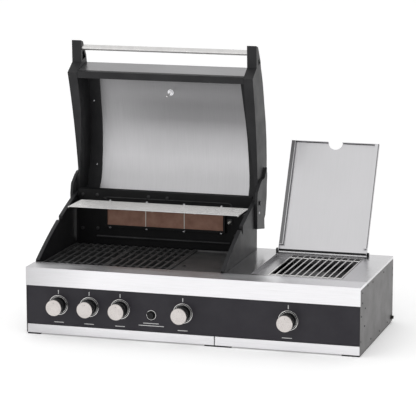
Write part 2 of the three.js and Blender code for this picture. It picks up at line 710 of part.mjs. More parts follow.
// A flat griddle with a raised rim and a three-cornered drain hole.
function griddle() {
  const xa = PLATES_LEFT + 2 * GRATE_WIDTH;
  const xb = FIREBOX_CENTRE + WALL_IN - PLATE_GAP;
  const plate = box(xa, xb, GRATE_FRONT, GRATE_BACK, GRATE_BOTTOM, GRATE_TOP);
  const rim = 6;
  const depth = 5;
  const dish = box(
    xa + rim, xb - rim, GRATE_FRONT + rim, GRATE_BACK - rim, GRATE_TOP - depth, GRATE_TOP + depth,
  );
  const x = xa + 22;
  const y = GRATE_FRONT + 110;
  const hole = { width: 16, length: 22 };
  const corners = [[x, y], [x + hole.width, y], [x + hole.width / 2, y + hole.length]];
  const drain = acrossZ(corners, GRATE_BOTTOM - depth, GRATE_TOP + depth);
  return cut(plate, dish, drain);
}

function warmingRack() {
  const half = WALL_IN - 11;
  const wire = RACK_WIRE;
  const back = REAR_PLATE - 3;
  const flat = 3;
  const front = back - RACK_DEPTH;
  const long = [...Array(RACK_WIRES).keys()].map((i) => {
    const y = front + (i * (RACK_DEPTH - wire)) / (RACK_WIRES - 1);
    return box(across(-1, half), across(1, half), y, y + wire, RACK_HEIGHT + 2, RACK_HEIGHT + 2 + flat);
  });
  const ties = [...Array(RACK_TIES).keys()].map((i) => {
    const x = across(-1, half) + (i * (2 * half - wire)) / (RACK_TIES - 1);
    return box(x, x + wire, front, back, RACK_HEIGHT, RACK_HEIGHT + flat);
  });
  return join(...long, ...ties);
}

const TILE_FRONT = REAR_PLATE - TILE_STAND_OFF;
function rearBurnerBox() {
  const half = REAR_BURNER_WIDTH / 2;
  const lip = REAR_BURNER_LIP;
  const base = REAR_BURNER_BASE;
  const top = base + REAR_BURNER_HEIGHT;
  const front = TILE_FRONT - 4;
  const shell = box(
    REAR_BURNER_X - half, REAR_BURNER_X + half, front, REAR_PLATE - GAP, base, top,
  );
  const mouth = box(
    REAR_BURNER_X - half + lip, REAR_BURNER_X + half - lip,
    front - OVERLAP, REAR_PLATE - REAR_BURNER_WALL, base + lip, top - lip,
  );
  return cut(shell, mouth);
}

// Three porous tiles in a row, drawn as one block with the joints cut in.
function rearBurnerTiles() {
  const inset = REAR_BURNER_LIP + GAP;
  const half = REAR_BURNER_WIDTH / 2 - inset;
  const base = REAR_BURNER_BASE + inset;
  const top = REAR_BURNER_BASE + REAR_BURNER_HEIGHT - inset;
  const back = REAR_PLATE - REAR_BURNER_WALL - GAP;
  const block = box(REAR_BURNER_X - half, REAR_BURNER_X + half, TILE_FRONT, back, base, top);
  const groove = (x) =>
    box(
      x - TILE_JOINT / 2, x + TILE_JOINT / 2, TILE_FRONT - OVERLAP, TILE_FRONT + 2 * OVERLAP,
      base - OVERLAP, top + OVERLAP,
    );
  const third = (2 * half) / 3;
  return cut(block, groove(REAR_BURNER_X - third / 2), groove(REAR_BURNER_X + third / 2));
}

function rearIgniter() {
  const x = REAR_BURNER_X + REAR_BURNER_WIDTH / 2 + 16;
  const z = REAR_BURNER_BASE + REAR_BURNER_HEIGHT / 2;
  const collar = REAR_PLATE - 26;
  const tip = { length: 8, radius: 1.2 };
  return join(
    rod([x, REAR_PLATE - GAP, z], [x, collar, z], 4, 8),
    rod([x, collar, z], [x, collar - tip.length, z], tip.radius, 6),
  );
}

// ---------------------------------------------------------------- grease tray
const TRAY_BASE = BASE_TOP + 1;
const TRAY_BACK = REAR_PLATE - TRAY_SETBACK;
function greaseTray() {
  const half = WALL_IN - TRAY_INSET;
  const outer = box(
    across(-1, half), across(1, half), PANEL_BACK + GAP, TRAY_BACK,
    TRAY_BASE, TRAY_BASE + TRAY_HEIGHT,
  );
  const inner = box(
    across(-1, half - SHEET), across(1, half - SHEET),
    PANEL_BACK + GAP + SHEET, TRAY_BACK - SHEET,
    TRAY_BASE + SHEET, TRAY_BASE + 2 * TRAY_HEIGHT,
  );
  return cut(outer, inner);
}

// ---------------------------------------------------------------- main lid
// The lid's outer line, from the bottom of the front face over the crown to the back.
const LID_CORNERS = [
  [-LID_NOSE, LID_FRONT_HEIGHT],
  [0.09 * JOINT_LENGTH, LID_FRONT_HEIGHT + 0.4 * (LID_CROWN - LID_FRONT_HEIGHT)],
  [0.26 * JOINT_LENGTH, LID_FRONT_HEIGHT + 0.67 * (LID_CROWN - LID_FRONT_HEIGHT)],
  [0.55 * JOINT_LENGTH, LID_CROWN],
  [0.89 * JOINT_LENGTH, 0.87 * LID_CROWN],
  [JOINT_LENGTH + 0.2 * LID_TAIL, 0.63 * LID_CROWN],
  [JOINT_LENGTH + 0.87 * LID_TAIL, 0.33 * LID_CROWN],
  [JOINT_LENGTH + LID_TAIL, 0.07 * LID_CROWN],
];

function lidLine() {
  const corners = LID_CORNERS.map(([u, v]) => new THREE.Vector2(u, v));
  const crown = new THREE.SplineCurve(corners).getPoints(16).map(({ x, y }) => [x, y]);
  return [[-LID_NOSE, BEAM_DEPTH + 2], ...crown];
}

// The arm's outline about the hinge axis.
const ARM_OUTLINE = [
  [-64, 79],
  [-69, 46],
  [-63, 23],
  [-45, -16],
  [-12, -32],
  [80, -43],
  [114, 49],
  [77, 52],
  [69, 67],
  [9, 97],
  [-90, 117],
];

// An end casting: thick at the front, thin at the hinge, with the ear that holds the
// handle, the flange that the lining is screwed to, and the arm that turns on the pin.
function lidEnd(side, draft) {
  const ear = [
    [-LID_NOSE - 17, 55],
    [HANDLE.u - 29, HANDLE.v - 12],
    [HANDLE.u - 19, HANDLE.v + 8],
    [-LID_NOSE - 28, LID_FRONT_HEIGHT - 2],
  ];
  const outline = [
    ...jointLine(-LID_NOSE / 2, JOINT_LENGTH, 0, RIM_STEPS).reverse(),
    ...ear,
    ...lidLine().slice(1),
  ];
  const casting = acrossX(outline, across(side, LID_OUT), across(side, LID_IN));
  const taper = acrossZ(
    [
      [across(side, LID_IN - OVERLAP), 0.3 * JOINT_LENGTH],
      [across(side, LID_OUT - LID_SIDE_BACK), 0.9 * JOINT_LENGTH],
      [across(side, LID_OUT - LID_SIDE_BACK), JOINT_LENGTH + 2 * LID_TAIL],
      [across(side, LID_IN - 1), JOINT_LENGTH + 2 * LID_TAIL],
    ],
    -LID_CROWN, 2 * LID_CROWN,
  );
  const armStart = PIVOT.u + ARM_OUTLINE[1][0] + 8;
  const lean = acrossZ(
    [
      [across(side, LID_OUT + 1), 0],
      [across(side, LID_OUT), 0],
      [across(side, LID_OUT - draft), armStart],
      [across(side, LID_OUT + 1), armStart],
    ],
    -LID_CROWN, 2 * LID_CROWN,
  );
  const body = join(
    cut(casting, taper, lean, ...earPockets(side)), lidFlange(side), lidArm(side),
  );
  return cut(body, handleSocket(side), pinBore(side));
}

// The flange is narrower at the hinge than at the front.
function lidFlange(side) {
  const end = JOINT_LENGTH + 2 * LID_TAIL;
  const strip = acrossX(
    band(lidLine(), 3, LINER_SPACE + SHEET + GAP),
    across(side, LID_OUT - LID_SIDE_BACK + 1), across(side, LID_IN - FLANGE_WIDTH),
  );
  const waste = acrossZ(
    [
      [across(side, 0), -LID_CROWN],
      [across(side, LID_IN - FLANGE_WIDTH), -LID_CROWN],
      [across(side, LID_IN - FLANGE_WIDTH), 0],
      [across(side, LID_IN - FLANGE_WIDTH_BACK), JOINT_LENGTH],
      [across(side, LID_IN - FLANGE_WIDTH_BACK), end],
      [across(side, 0), end],
    ],
    -LID_CROWN, 2 * LID_CROWN,
  );
  return cut(strip, waste);
}

// A pocket in the ear's inner face and a smaller one in its outer face, with a web between.
function earPockets(side) {
  const inner = [
    [-LID_NOSE - 20, 66],
    [HANDLE.u + 14, HANDLE.v - 6],
    [HANDLE.u + 14, HANDLE.v + 10],
    [-LID_NOSE - 22, LID_FRONT_HEIGHT - 10],
  ];
  const outer = [
    [-LID_NOSE - 18, 80],
    [HANDLE.u + 22, HANDLE.v + 4],
    [-LID_NOSE - 22, LID_FRONT_HEIGHT - 8],
  ];
  return [
    acrossX(inner, across(side, LID_IN - 1), across(side, LID_IN + 16)),
    acrossX(outer, across(side, LID_OUT + 1), across(side, LID_OUT - 10)),
  ];
}

const handleSocket = (side) =>
  rod(
    [across(side, LID_IN - OVERLAP), HANDLE.u, HANDLE.v],
    [across(side, LID_IN + HANDLE_SEAT + OVERLAP), HANDLE.u, HANDLE.v],
    HANDLE_RADIUS + GAP, 20,
  );

const pinBore = (side) =>
  rod(
    [across(side, WALL_OUT), PIVOT.u, PIVOT.v],
    [across(side, ARM_OUT + OVERLAP), PIVOT.u, PIVOT.v],
    PIN_RADIUS + GAP, 16,
  );

// The arm lies outside the firebox wall and carries the lid past its hinge axis.
function lidArm(side) {
  const outline = ARM_OUTLINE.map(([u, v]) => [PIVOT.u + u, PIVOT.v + v]);
  return acrossX(outline, across(side, WALL_OUT + GAP), across(side, ARM_OUT));
}

const DIAL_POINT = { u: DIAL_SETBACK, v: LID_CROWN };
const stemHole = () =>
  rod(
    [FIREBOX_CENTRE, DIAL_POINT.u, 0], [FIREBOX_CENTRE, DIAL_POINT.u, DIAL_POINT.v + LIP],
    STEM_HOLE,
  );

// Skin and lining span between the end castings.
function lidSheet(line, inset) {
  const half = LID_IN - GAP;
  const sheet = acrossX(band(line, SHEET, inset), across(-1, half), across(1, half));
  return cut(sheet, stemHole());
}

function lidBeam() {
  const half = LID_IN - GAP;
  const outline = [
    [-LID_NOSE, 0],
    [-LID_NOSE, BEAM_DEPTH],
    [BEAM_WIDTH - LID_NOSE, BEAM_DEPTH],
    [BEAM_WIDTH - LID_NOSE, 1],
  ];
  return acrossX(outline, across(-1, half), across(1, half));
}

function lidHandle() {
  const end = LID_IN + HANDLE_SEAT;
  return rod(
    [across(-1, end), HANDLE.u, HANDLE.v], [across(1, end), HANDLE.u, HANDLE.v],
    HANDLE_RADIUS, 20,
  );
}

// Dial, stem and probe on one axis square to the joint.
function thermometer() {
  const seat = surfaceHeight(DIAL_POINT.u) + 6;
  const profile = [
    [0, seat - STEM_LENGTH],
    [STEM_RADIUS, seat - STEM_LENGTH],
    [STEM_RADIUS, seat],
    [DIAL_RADIUS, seat],
    [DIAL_RADIUS, seat + DIAL_THICKNESS - DIAL_EDGE],
    [DIAL_RADIUS - DIAL_EDGE, seat + DIAL_THICKNESS],
    [0, seat + DIAL_THICKNESS],
  ];
  return turned(profile, 24)
    .rotateX(Math.PI / 2)
    .translate(FIREBOX_CENTRE, DIAL_POINT.u, 0);
}

// Height of the lid's outer line above a place on the joint.
function surfaceHeight(place) {
  const line = lidLine();
  const next = line.findIndex(([u], i) => i > 1 && u > place);
  const [u0, v0] = line[next - 1];
  const [u1, v1] = line[next];
  return v0 + ((v1 - v0) * (place - u0)) / (u1 - u0);
}

function mainLid() {
  const line = lidLine();
  const frame = new THREE.Group();
  frame.add(
    mesh("lid_end_left", lidEnd(SIDES.left, LID_DRAFT.left), CASTING),
    mesh("lid_end_right", lidEnd(SIDES.right, LID_DRAFT.right), CASTING),
    mesh("lid_skin", lidSheet(line, 0), STAINLESS),
    mesh("lid_lining", lidSheet(line, LINER_SPACE), STAINLESS),
    mesh("lid_beam", lidBeam(), CASTING),
    mesh("lid_handle", lidHandle(), POLISHED),
    mesh("lid_thermometer", thermometer(), POLISHED),
  );
  frame.position.set(0, JOINT_FRONT.x - PIVOT_Y, JOINT_FRONT.y - PIVOT_Z);
  frame.rotation.x = JOINT_SLOPE;
  const lid = new THREE.Group();
  lid.add(frame);
  lid.position.set(0, PIVOT_Y, PIVOT_Z);
  lid.rotation.x = -radians(LID_OPENING);
  return lid;
}

// ---------------------------------------------------------------- side burner
const SIDE_BURNER = {
  x: WELL_X + (WELL_WIDTH + WELL_STEP) / 2,
  y: (WELL_FRONT + WELL_BACK) / 2,
};

// A stainless well that hangs under the worktop's cut-out.
function sideWell() {
  const xa = WELL_X + GAP;
  const xb = WELL_X + WELL_WIDTH - GAP;
  const ya = WELL_FRONT + GAP;
  const yb = WELL_BACK - GAP;
  const top = HEIGHT - SHEET - GAP;
  const base = HEIGHT - WELL_DEPTH;
  const flange = box(xa - LIP, xb + LIP, ya - LIP, yb + LIP, top - SHEET, top);
  const shell = box(xa, xb, ya, yb, base, top);
  const inside = box(
    xa + SHEET, xb - SHEET, ya + SHEET, yb - SHEET, base + SHEET, top + SHEET,
  );
  const half = SHEET / 2;
  const ledge = top - STEP_DROP;
  const step = box(
    xa + half, xa + WELL_STEP, ya + half, yb - half, ledge - STEP_THICKNESS, ledge,
  );
  const { x, y } = SIDE_BURNER;
  const feed = rod([x, y, base - LIP], [x, y, base + LIP], FEED_RADIUS);
  return cut(join(cut(join(flange, shell), inside), step), feed);
}

function sideBurner() {
  const base = HEIGHT - WELL_DEPTH + SHEET + GAP;
  const profile = [
    [0, base - 30],
    [9, base - 30],
    [9, base],
    [34, base],
    [46, base + 8],
    [44, base + 15],
    [30, base + 18],
    [0, base + 18],
  ];
  return turned(profile, 24).rotateX(Math.PI / 2).translate(SIDE_BURNER.x, SIDE_BURNER.y, 0);
}

function sideGrate() {
  const radius = SIDE_BAR_RADIUS;
  const xa = WELL_X + WELL_STEP + 3 + radius;
  const xb = WELL_X + WELL_WIDTH - 4 - radius;
  const ya = WELL_FRONT + 5;
  const yb = WELL_BACK - 5;
  const z = HEIGHT - SIDE_GRATE_DROP;
  const bars = [...Array(SIDE_BARS).keys()].map((i) => {
    const x = xa + (i * (xb - xa)) / (SIDE_BARS - 1);
    return rod([x, ya, z], [x, yb, z], radius, 6);
  });
  const inset = SIDE_GRATE_INSET;
  const tieHeight = z + 2;
  const tie = (y) => rod([xa - 2, y, tieHeight], [xb + 2, y, tieHeight], radius, 6);
  const foot = HEIGHT - WELL_DEPTH + SHEET + GAP;
  const legs = [ya + inset, yb - inset].flatMap((y) =>
    [xa + 12, xb - 12].map((x) => rod([x, y, foot], [x, y, tieHeight], radius, 6)),
  );
  return join(...bars, ...[ya + inset, yb - inset].map(tie), ...legs);
}

// The hinge rod with a block at each end, standing on the worktop.
function sideHinge() {
  const { y, z } = SIDE_AXIS;
  const { width, half } = HINGE_BLOCK;
  const block = (x) => box(x, x + width, y - half, y + half, HEIGHT + GAP, z + half - OVERLAP);
  const clear = 3;
  const left = WELL_X - clear - width;
  const right = WELL_X + WELL_WIDTH + clear;
  const pin = rod([left + 2, y, z], [right + 2, y, z], SIDE_PIN_RADIUS);
  return join(block(left), block(right), pin);
}

// The side lid: a folded sheet with a thumb notch, drawn shut about its hinge axis.
function sideLid() {
  const xa = WELL_X - SIDE_LID_SPARE;
  const xb = WELL_X + WELL_WIDTH + SIDE_LID_SPARE;
  const front = -SIDE_LID_LENGTH;
  const end = SIDE_LID_HALF;
  const top = end;
  const bottom = -end;
  const cheek = [
    [front, bottom],
    [front, top],
    [end - 2, top],
    [end, top - 2],
    [end, bottom + 3],
    [end - 3, bottom],
  ];
  const left = acrossX(cheek, xa, xa + SHEET);
  const right = acrossX(cheek, xb - SHEET, xb);
  const sheet = box(xa, xb, front, end - 2, top - SHEET, top);
  const nose = box(xa, xb, front, front + SHEET, bottom, top);
  const fold = (x) => box(
    x, x + SIDE_LID_RETURN, front + SHEET / 2, -3 * end, bottom, bottom + SHEET,
  );
  const folds = [fold(xa + SHEET / 2), fold(xb - SHEET / 2 - SIDE_LID_RETURN)];
  const holes = rod([xa - OVERLAP, 0, 0], [xb + OVERLAP, 0, 0], SIDE_PIN_RADIUS + GAP);
  const middle = (xa + xb) / 2;
  const thumb = rod([middle, front, bottom - LIP], [middle, front, top + LIP], THUMB_RADIUS, 24);
  return cut(join(left, right, sheet, nose, ...folds), holes, thumb);
}

function openSideLid() {
  const lid = new THREE.Group();
  lid.add(mesh("side_lid", sideLid(), STAINLESS));
  lid.position.set(0, SIDE_AXIS.y, SIDE_AXIS.z);
  lid.rotation.x = -radians(SIDE_LID_OPENING);
  return lid;
}

// ---------------------------------------------------------------- assembly
const cabinet = new THREE.Group();
cabinet.add(
  mesh("front_rail", frontRail(), STAINLESS),
  mesh("worktop", worktop(), STAINLESS),
  mesh("control_panel", controlPanel(), PANEL_PAINT),
  mesh("lower_trim", strip(STRIP_SPLIT + STRIP_GAP / 2, RIGHT - SIDE_SHEET - GAP), STAINLESS),
  mesh("side_panel_left", sidePanel(SIDES.left), SIDE_PAINT),
  mesh("side_panel_right", sidePanel(SIDES.right), SIDE_PAINT),
  mesh("rear_panel", rearPanel(), SIDE_PAINT),
  mesh("base_pan", basePan(), SIDE_PAINT),
  ...Object.entries(FEET).map(([place, [x, width]]) =>
    mesh(`foot_rail_${place}`, footRail(x, width), BLACK),
  ),
  mesh("gas_manifold", gasManifold(), BRASS),
  mesh("gas_inlet", gasInlet(), BLACK),
  ...KNOB_X.map((x, i) => mesh(`valve_spindle_${i + 1}`, spindle(x), BRASS)),
  ...KNOB_X.map((x, i) => mesh(`knob_bezel_${i + 1}`, bezel(x), POLISHED)),
  ...KNOB_X.map((x, i) => mesh(`knob_${i + 1}`, knob(x), BLACK)),
  mesh("igniter_button", igniterButton(), BLACK),
);

const firebox = new THREE.Group();
firebox.add(
  mesh("firebox_wall_left", fireboxWall(SIDES.left), CASTING),
  mesh("firebox_wall_right", fireboxWall(SIDES.right), CASTING),
  mesh("firebox_rear", fireboxRear(), LINING),
  mesh("firebox_pan", fireboxPan(), LINING),
  mesh("rear_burner_box", rearBurnerBox(), LINING),
  mesh("rear_burner_tiles", rearBurnerTiles(), CERAMIC),
  mesh("rear_igniter", rearIgniter(), WHITE_CERAMIC),
  ...BURNER_X.map((x, i) => mesh(`burner_${i + 1}`, burner(i), STAINLESS)),
  ...BURNER_X.map((x, i) => mesh(`heat_tent_${i + 1}`, heatTent(x), STAINLESS)),
  mesh("warming_rack", warmingRack(), POLISHED),
  mesh("grate_left", grate(PLATES_LEFT), CAST_IRON),
  mesh("grate_right", grate(PLATES_LEFT + GRATE_WIDTH), CAST_IRON),
  mesh("griddle", griddle(), CAST_IRON),
  mesh("grease_tray", greaseTray(), STAINLESS),
  mesh("tray_front", strip(LEFT + SIDE_SHEET + GAP, STRIP_SPLIT - STRIP_GAP / 2), STAINLESS),
);

const sideUnit = new THREE.Group();
sideUnit.add(
  mesh("side_well", sideWell(), STAINLESS),
  mesh("side_burner", sideBurner(), CAST_IRON),
  mesh("side_grate", sideGrate(), POLISHED),
  mesh("side_hinge", sideHinge(), BLACK),
  openSideLid(),
);

// The origin is on the floor, under the middle of the whole grill with both lids open.
const grill = new THREE.Group();
grill.add(cabinet, firebox, sideUnit, mainLid());
grill.updateMatrixWorld(true);
const bounds = new THREE.Box3().setFromObject(grill, true);
const middle = bounds.getCenter(new THREE.Vector3());
grill.position.set(-middle.x, -middle.y, -bounds.min.z);

export default grill;
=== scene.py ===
import json
import math

import bmesh
import bpy
from mathutils import Matrix, Vector

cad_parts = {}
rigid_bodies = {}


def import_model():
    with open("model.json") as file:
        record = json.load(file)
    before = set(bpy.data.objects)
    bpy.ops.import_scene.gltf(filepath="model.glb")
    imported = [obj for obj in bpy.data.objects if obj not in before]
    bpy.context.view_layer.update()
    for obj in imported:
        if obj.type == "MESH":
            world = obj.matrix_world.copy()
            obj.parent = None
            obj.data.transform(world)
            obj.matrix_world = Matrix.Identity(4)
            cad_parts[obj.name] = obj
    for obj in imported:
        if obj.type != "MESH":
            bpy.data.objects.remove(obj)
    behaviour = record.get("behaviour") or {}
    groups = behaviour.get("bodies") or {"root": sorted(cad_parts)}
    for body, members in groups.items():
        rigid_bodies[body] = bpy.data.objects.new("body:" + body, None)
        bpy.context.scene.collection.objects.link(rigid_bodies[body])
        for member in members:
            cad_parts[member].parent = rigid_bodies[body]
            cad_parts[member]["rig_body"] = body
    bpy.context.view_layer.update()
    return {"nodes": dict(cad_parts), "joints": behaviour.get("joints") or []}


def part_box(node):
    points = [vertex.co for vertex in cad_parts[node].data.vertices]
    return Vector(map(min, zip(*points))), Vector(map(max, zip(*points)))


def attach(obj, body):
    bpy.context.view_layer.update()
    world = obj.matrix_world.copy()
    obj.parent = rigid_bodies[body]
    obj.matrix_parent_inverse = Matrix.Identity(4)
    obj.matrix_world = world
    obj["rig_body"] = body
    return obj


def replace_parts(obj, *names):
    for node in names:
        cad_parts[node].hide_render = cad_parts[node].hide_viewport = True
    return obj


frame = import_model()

MM = 0.001

# ---------------------------------------------------------------- places
RAIL_LOW, RAIL_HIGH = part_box("front_rail")
CABINET_X = (RAIL_LOW.x + RAIL_HIGH.x) / 2
FASCIA_Y = RAIL_LOW.y
FIREBOX_X = (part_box("firebox_wall_left")[0].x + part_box("firebox_wall_right")[1].x) / 2
WELL_LOW, WELL_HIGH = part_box("side_well")
WELL_X = (WELL_LOW.x + WELL_HIGH.x) / 2
PANEL_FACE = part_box("control_panel")[0].y
JOINTS = {joint["name"]: joint for joint in frame["joints"]}

LID_JOINT_RUN = 418.6  # millimetres from the front of the lid's joint to its back
LID_JOINT_RISE = 172.0
LID_JOINT_LENGTH = math.hypot(LID_JOINT_RUN, LID_JOINT_RISE)
LID_PIVOT_AHEAD = 10  # hinge axis ahead of the joint's back end
LID_PIVOT_U = LID_JOINT_LENGTH - LID_PIVOT_AHEAD
LID_PIVOT_V = -14
LID_TURN = math.atan2(LID_JOINT_RISE, LID_JOINT_RUN) + math.radians(
    JOINTS["main_lid_hinge"]["range_deg"][0]
)


def at(x, y, z):
    """A point in millimetres from the cabinet's middle, the fascia and the floor."""
    return Vector((CABINET_X + x * MM, FASCIA_Y + y * MM, z * MM))


def lid_matrix():
    """From the shut lid's own millimetres (across, back along the joint, up) to the open lid."""
    hinge = Vector(JOINTS["main_lid_hinge"]["pos_m"])
    hinge.x = FIREBOX_X
    centre = Matrix.Translation(Vector((0, -LID_PIVOT_U, -LID_PIVOT_V)))
    turn = Matrix.Rotation(LID_TURN, 4, "X")
    return Matrix.Translation(hinge) @ turn @ Matrix.Scale(MM, 4) @ centre


LID = lid_matrix()


def on_lid(x, u, v):
    return LID @ Vector((x, u, v))


# ---------------------------------------------------------------- node materials
def new_material(name, colour, roughness, metallic=0.0):
    material = bpy.data.materials.new(name)
    material.use_nodes = True
    shader = material.node_tree.nodes["Principled BSDF"]
    shader.inputs["Base Color"].default_value = (*colour, 1)
    shader.inputs["Roughness"].default_value = roughness
    shader.inputs["Metallic"].default_value = metallic
    return material, shader


def pattern(material, scale, detail=3.0, stretch=(1, 1, 1), roughness=0.55):
    """A noise on the piece's own coordinates, in metres, stretched along each axis."""
    nodes, links = material.node_tree.nodes, material.node_tree.links
    coordinates = nodes.new("ShaderNodeTexCoord")
    mapping = nodes.new("ShaderNodeMapping")
    mapping.inputs["Scale"].default_value = stretch
    noise = nodes.new("ShaderNodeTexNoise")
    noise.inputs["Scale"].default_value = scale
    noise.inputs["Detail"].default_value = detail
    noise.inputs["Roughness"].default_value = roughness
    links.new(coordinates.outputs["Object"], mapping.inputs["Vector"])
    links.new(mapping.outputs["Vector"], noise.inputs["Vector"])
    return noise.outputs["Fac"]


def span(material, source, low, high, start=0.3, end=0.7):
    """Carries a 0 to 1 pattern on to a range of values."""
    node = material.node_tree.nodes.new("ShaderNodeMapRange")
    for socket, value in zip(("From Min", "From Max", "To Min", "To Max"), (start, end, low, high)):
        node.inputs[socket].default_value = value
    material.node_tree.links.new(source, node.inputs["Value"])
    return node.outputs["Result"]


def shades(material, source, dark, light, start=0.3, end=0.7):
    """Carries a 0 to 1 pattern on to two colours."""
    ramp = material.node_tree.nodes.new("ShaderNodeValToRGB")
    ramp.color_ramp.elements[0].position = start
    ramp.color_ramp.elements[1].position = end
    ramp.color_ramp.elements[0].color = (*dark, 1)
    ramp.color_ramp.elements[1].color = (*light, 1)
    material.node_tree.links.new(source, ramp.inputs["Fac"])
    return ramp.outputs["Color"]


def relief(material, shader, source, strength, distance):
    bump = material.node_tree.nodes.new("ShaderNodeBump")
    bump.inputs["Strength"].default_value = strength
    bump.inputs["Distance"].default_value = distance
    material.node_tree.links.new(source, bump.inputs["Height"])
    material.node_tree.links.new(bump.outputs["Normal"], shader.inputs["Normal"])


def finish(material, shader, colour=None, roughness=None):
    links = material.node_tree.links
    if colour is not None:
        links.new(colour, shader.inputs["Base Color"])
    if roughness is not None:
        links.new(roughness, shader.inputs["Roughness"])
    return material


BRUSH_ACROSS = (3, 260, 260)  # how far the grain is stretched along each axis
BRUSH_UP = (240, 3, 3)


def fade(material, axis, low, high, at_low, at_high):
    """A value that changes along an axis between two places in metres."""
    nodes, links = material.node_tree.nodes, material.node_tree.links
    coordinates = nodes.new("ShaderNodeTexCoord")
    split = nodes.new("ShaderNodeSeparateXYZ")
    links.new(coordinates.outputs["Object"], split.inputs[0])
    return span(material, split.outputs[axis], at_low, at_high, low, high)


def brushed_steel(
    name, tone, roughness, brush=BRUSH_ACROSS, clouds=0.25, contrast=0.1, painted_shade_fade=None,
):
    """Sheet steel with a fine directional grain, faint clouding and, if asked, painted shade faded
    along an axis.
    """
    material, shader = new_material(name, (tone,) * 3, roughness, 1.0)
    shader.inputs["Anisotropic"].default_value = 0.4
    grain = pattern(material, 4.0, 2.0, brush)
    cloud = pattern(material, 5.0, 3.0)
    nodes, links = material.node_tree.nodes, material.node_tree.links

    def scaled(source, amount):
        node = nodes.new("ShaderNodeMath")
        node.operation = "MULTIPLY"
        node.inputs[1].default_value = amount
        links.new(source, node.inputs[0])
        return node.outputs[0]

    mixed = nodes.new("ShaderNodeMath")
    mixed.operation = "ADD"
    links.new(scaled(grain, 1 - clouds), mixed.inputs[0])
    links.new(scaled(cloud, clouds), mixed.inputs[1])
    mixed = mixed.outputs[0]
    dark = (tone * (1 - contrast), tone * (0.995 - contrast), tone * (1.01 - contrast))
    light = tuple(min(tone * (1 + contrast * 0.6) * tint, 1) for tint in (1, 0.99, 1.015))
    relief(material, shader, grain, 0.04, 0.0001)
    colour = shades(material, mixed, dark, light)
    # Painted shade: the colour is multiplied by a fade along one axis.
    if painted_shade_fade:
        painted_shade_multiply = nodes.new("ShaderNodeMix")
        painted_shade_multiply.data_type = "RGBA"
        painted_shade_multiply.blend_type = "MULTIPLY"
        painted_shade_multiply.inputs["Factor"].default_value = 1.0
        links.new(colour, painted_shade_multiply.inputs["A"])
        links.new(fade(material, *painted_shade_fade), painted_shade_multiply.inputs["B"])
        colour = painted_shade_multiply.outputs["Result"]
    return finish(
        material, shader, colour, span(material, mixed, roughness * 1.15, roughness * 0.85),
    )


def coated(
    name, dark, light, roughness, grain=900, strength=0.15, distance=0.0003, wear=14, gloss=0.25,
):
    """Paint or powder coat: a fine orange peel over slow changes of tone."""
    material, shader = new_material(name, light, roughness)
    shader.inputs["Specular IOR Level"].default_value = gloss
    peel = pattern(material, grain, 2.0)
    slow = pattern(material, wear, 4.0)
    relief(material, shader, peel, strength, distance)
    return finish(
        material, shader, shades(material, slow, dark, light),
        span(material, slow, roughness * 1.1, roughness * 0.9),
    )


def cast(name, dark, light, roughness, metallic):
    """A rough casting with pits as well as grain."""
    material, shader = new_material(name, light, roughness, metallic)
    grain = pattern(material, 420, 5.0, roughness=0.7)
    slow = pattern(material, 22, 3.0)
    relief(material, shader, grain, 0.45, 0.0005)
    return finish(
        material, shader, shades(material, slow, dark, light),
        span(material, grain, roughness * 1.15, roughness * 0.8),
    )


def bright_metal(name, colour, roughness):
    material, shader = new_material(name, colour, roughness, 1.0)
    slow = pattern(material, 40, 3.0)
    dark = tuple(c * 0.9 for c in colour)
    return finish(
        material, shader, shades(material, slow, dark, colour),
        span(material, slow, roughness * 1.3, roughness * 0.8),
    )


def tile_ceramic():
    material, shader = new_material("burner_tile", (0.17, 0.09, 0.065), 0.85)
    nodes, links = material.node_tree.nodes, material.node_tree.links
    coordinates = nodes.new("ShaderNodeTexCoord")
    pores = nodes.new("ShaderNodeTexVoronoi")
    pores.inputs["Scale"].default_value = 420
    links.new(coordinates.outputs["Object"], pores.inputs["Vector"])
    relief(material, shader, pores.outputs["Distance"], 0.6, 0.0008)
    slow = pattern(material, 30, 4.0)
    return finish(
        material, shader,
        shades(material, slow, (0.21, 0.112, 0.08), (0.30, 0.165, 0.122)),
        span(material, slow, 0.95, 0.75),
    )


# Painted shade: the fascia steel darkens towards the cabinet's left end; the trims, trays, burners
# and heat tents share it.
STEEL = brushed_steel(
    "fascia_steel", 0.88, 0.32, contrast=0.07, painted_shade_fade=("X", -0.58, -0.34, 0.68, 1),
)
# Painted reflection: the worktop darkens towards the firebox, standing for the dark firebox
# mirrored in it.
TOP_STEEL = brushed_steel(
    "worktop_steel", 0.66, 0.24, clouds=0.6, painted_shade_fade=("X", 0.10, 0.36, 0.78, 1),
)
# Painted shade: the side burner's recess gets a darker steel than the fascia's, darkening further
# below the ledge.
WELL_STEEL = brushed_steel("well_steel", 0.5, 0.3, clouds=0.5, painted_shade_fade=("Z", 0.198, 0.214, 0.1, 1))
# Painted reflection: the open lid's lining darkens towards its top.
LINING_STEEL = brushed_steel(
    "lining_steel", 0.76, 0.34, BRUSH_UP, contrast=0.05, painted_shade_fade=("Z", 0.52, 0.9, 0.76, 0.21),
)
# Painted shade: the lid skin's stainless gets a far darker tone than the fascia's, so it reads mid
# grey.
LID_STEEL = brushed_steel("lid_steel", 0.33, 0.32)
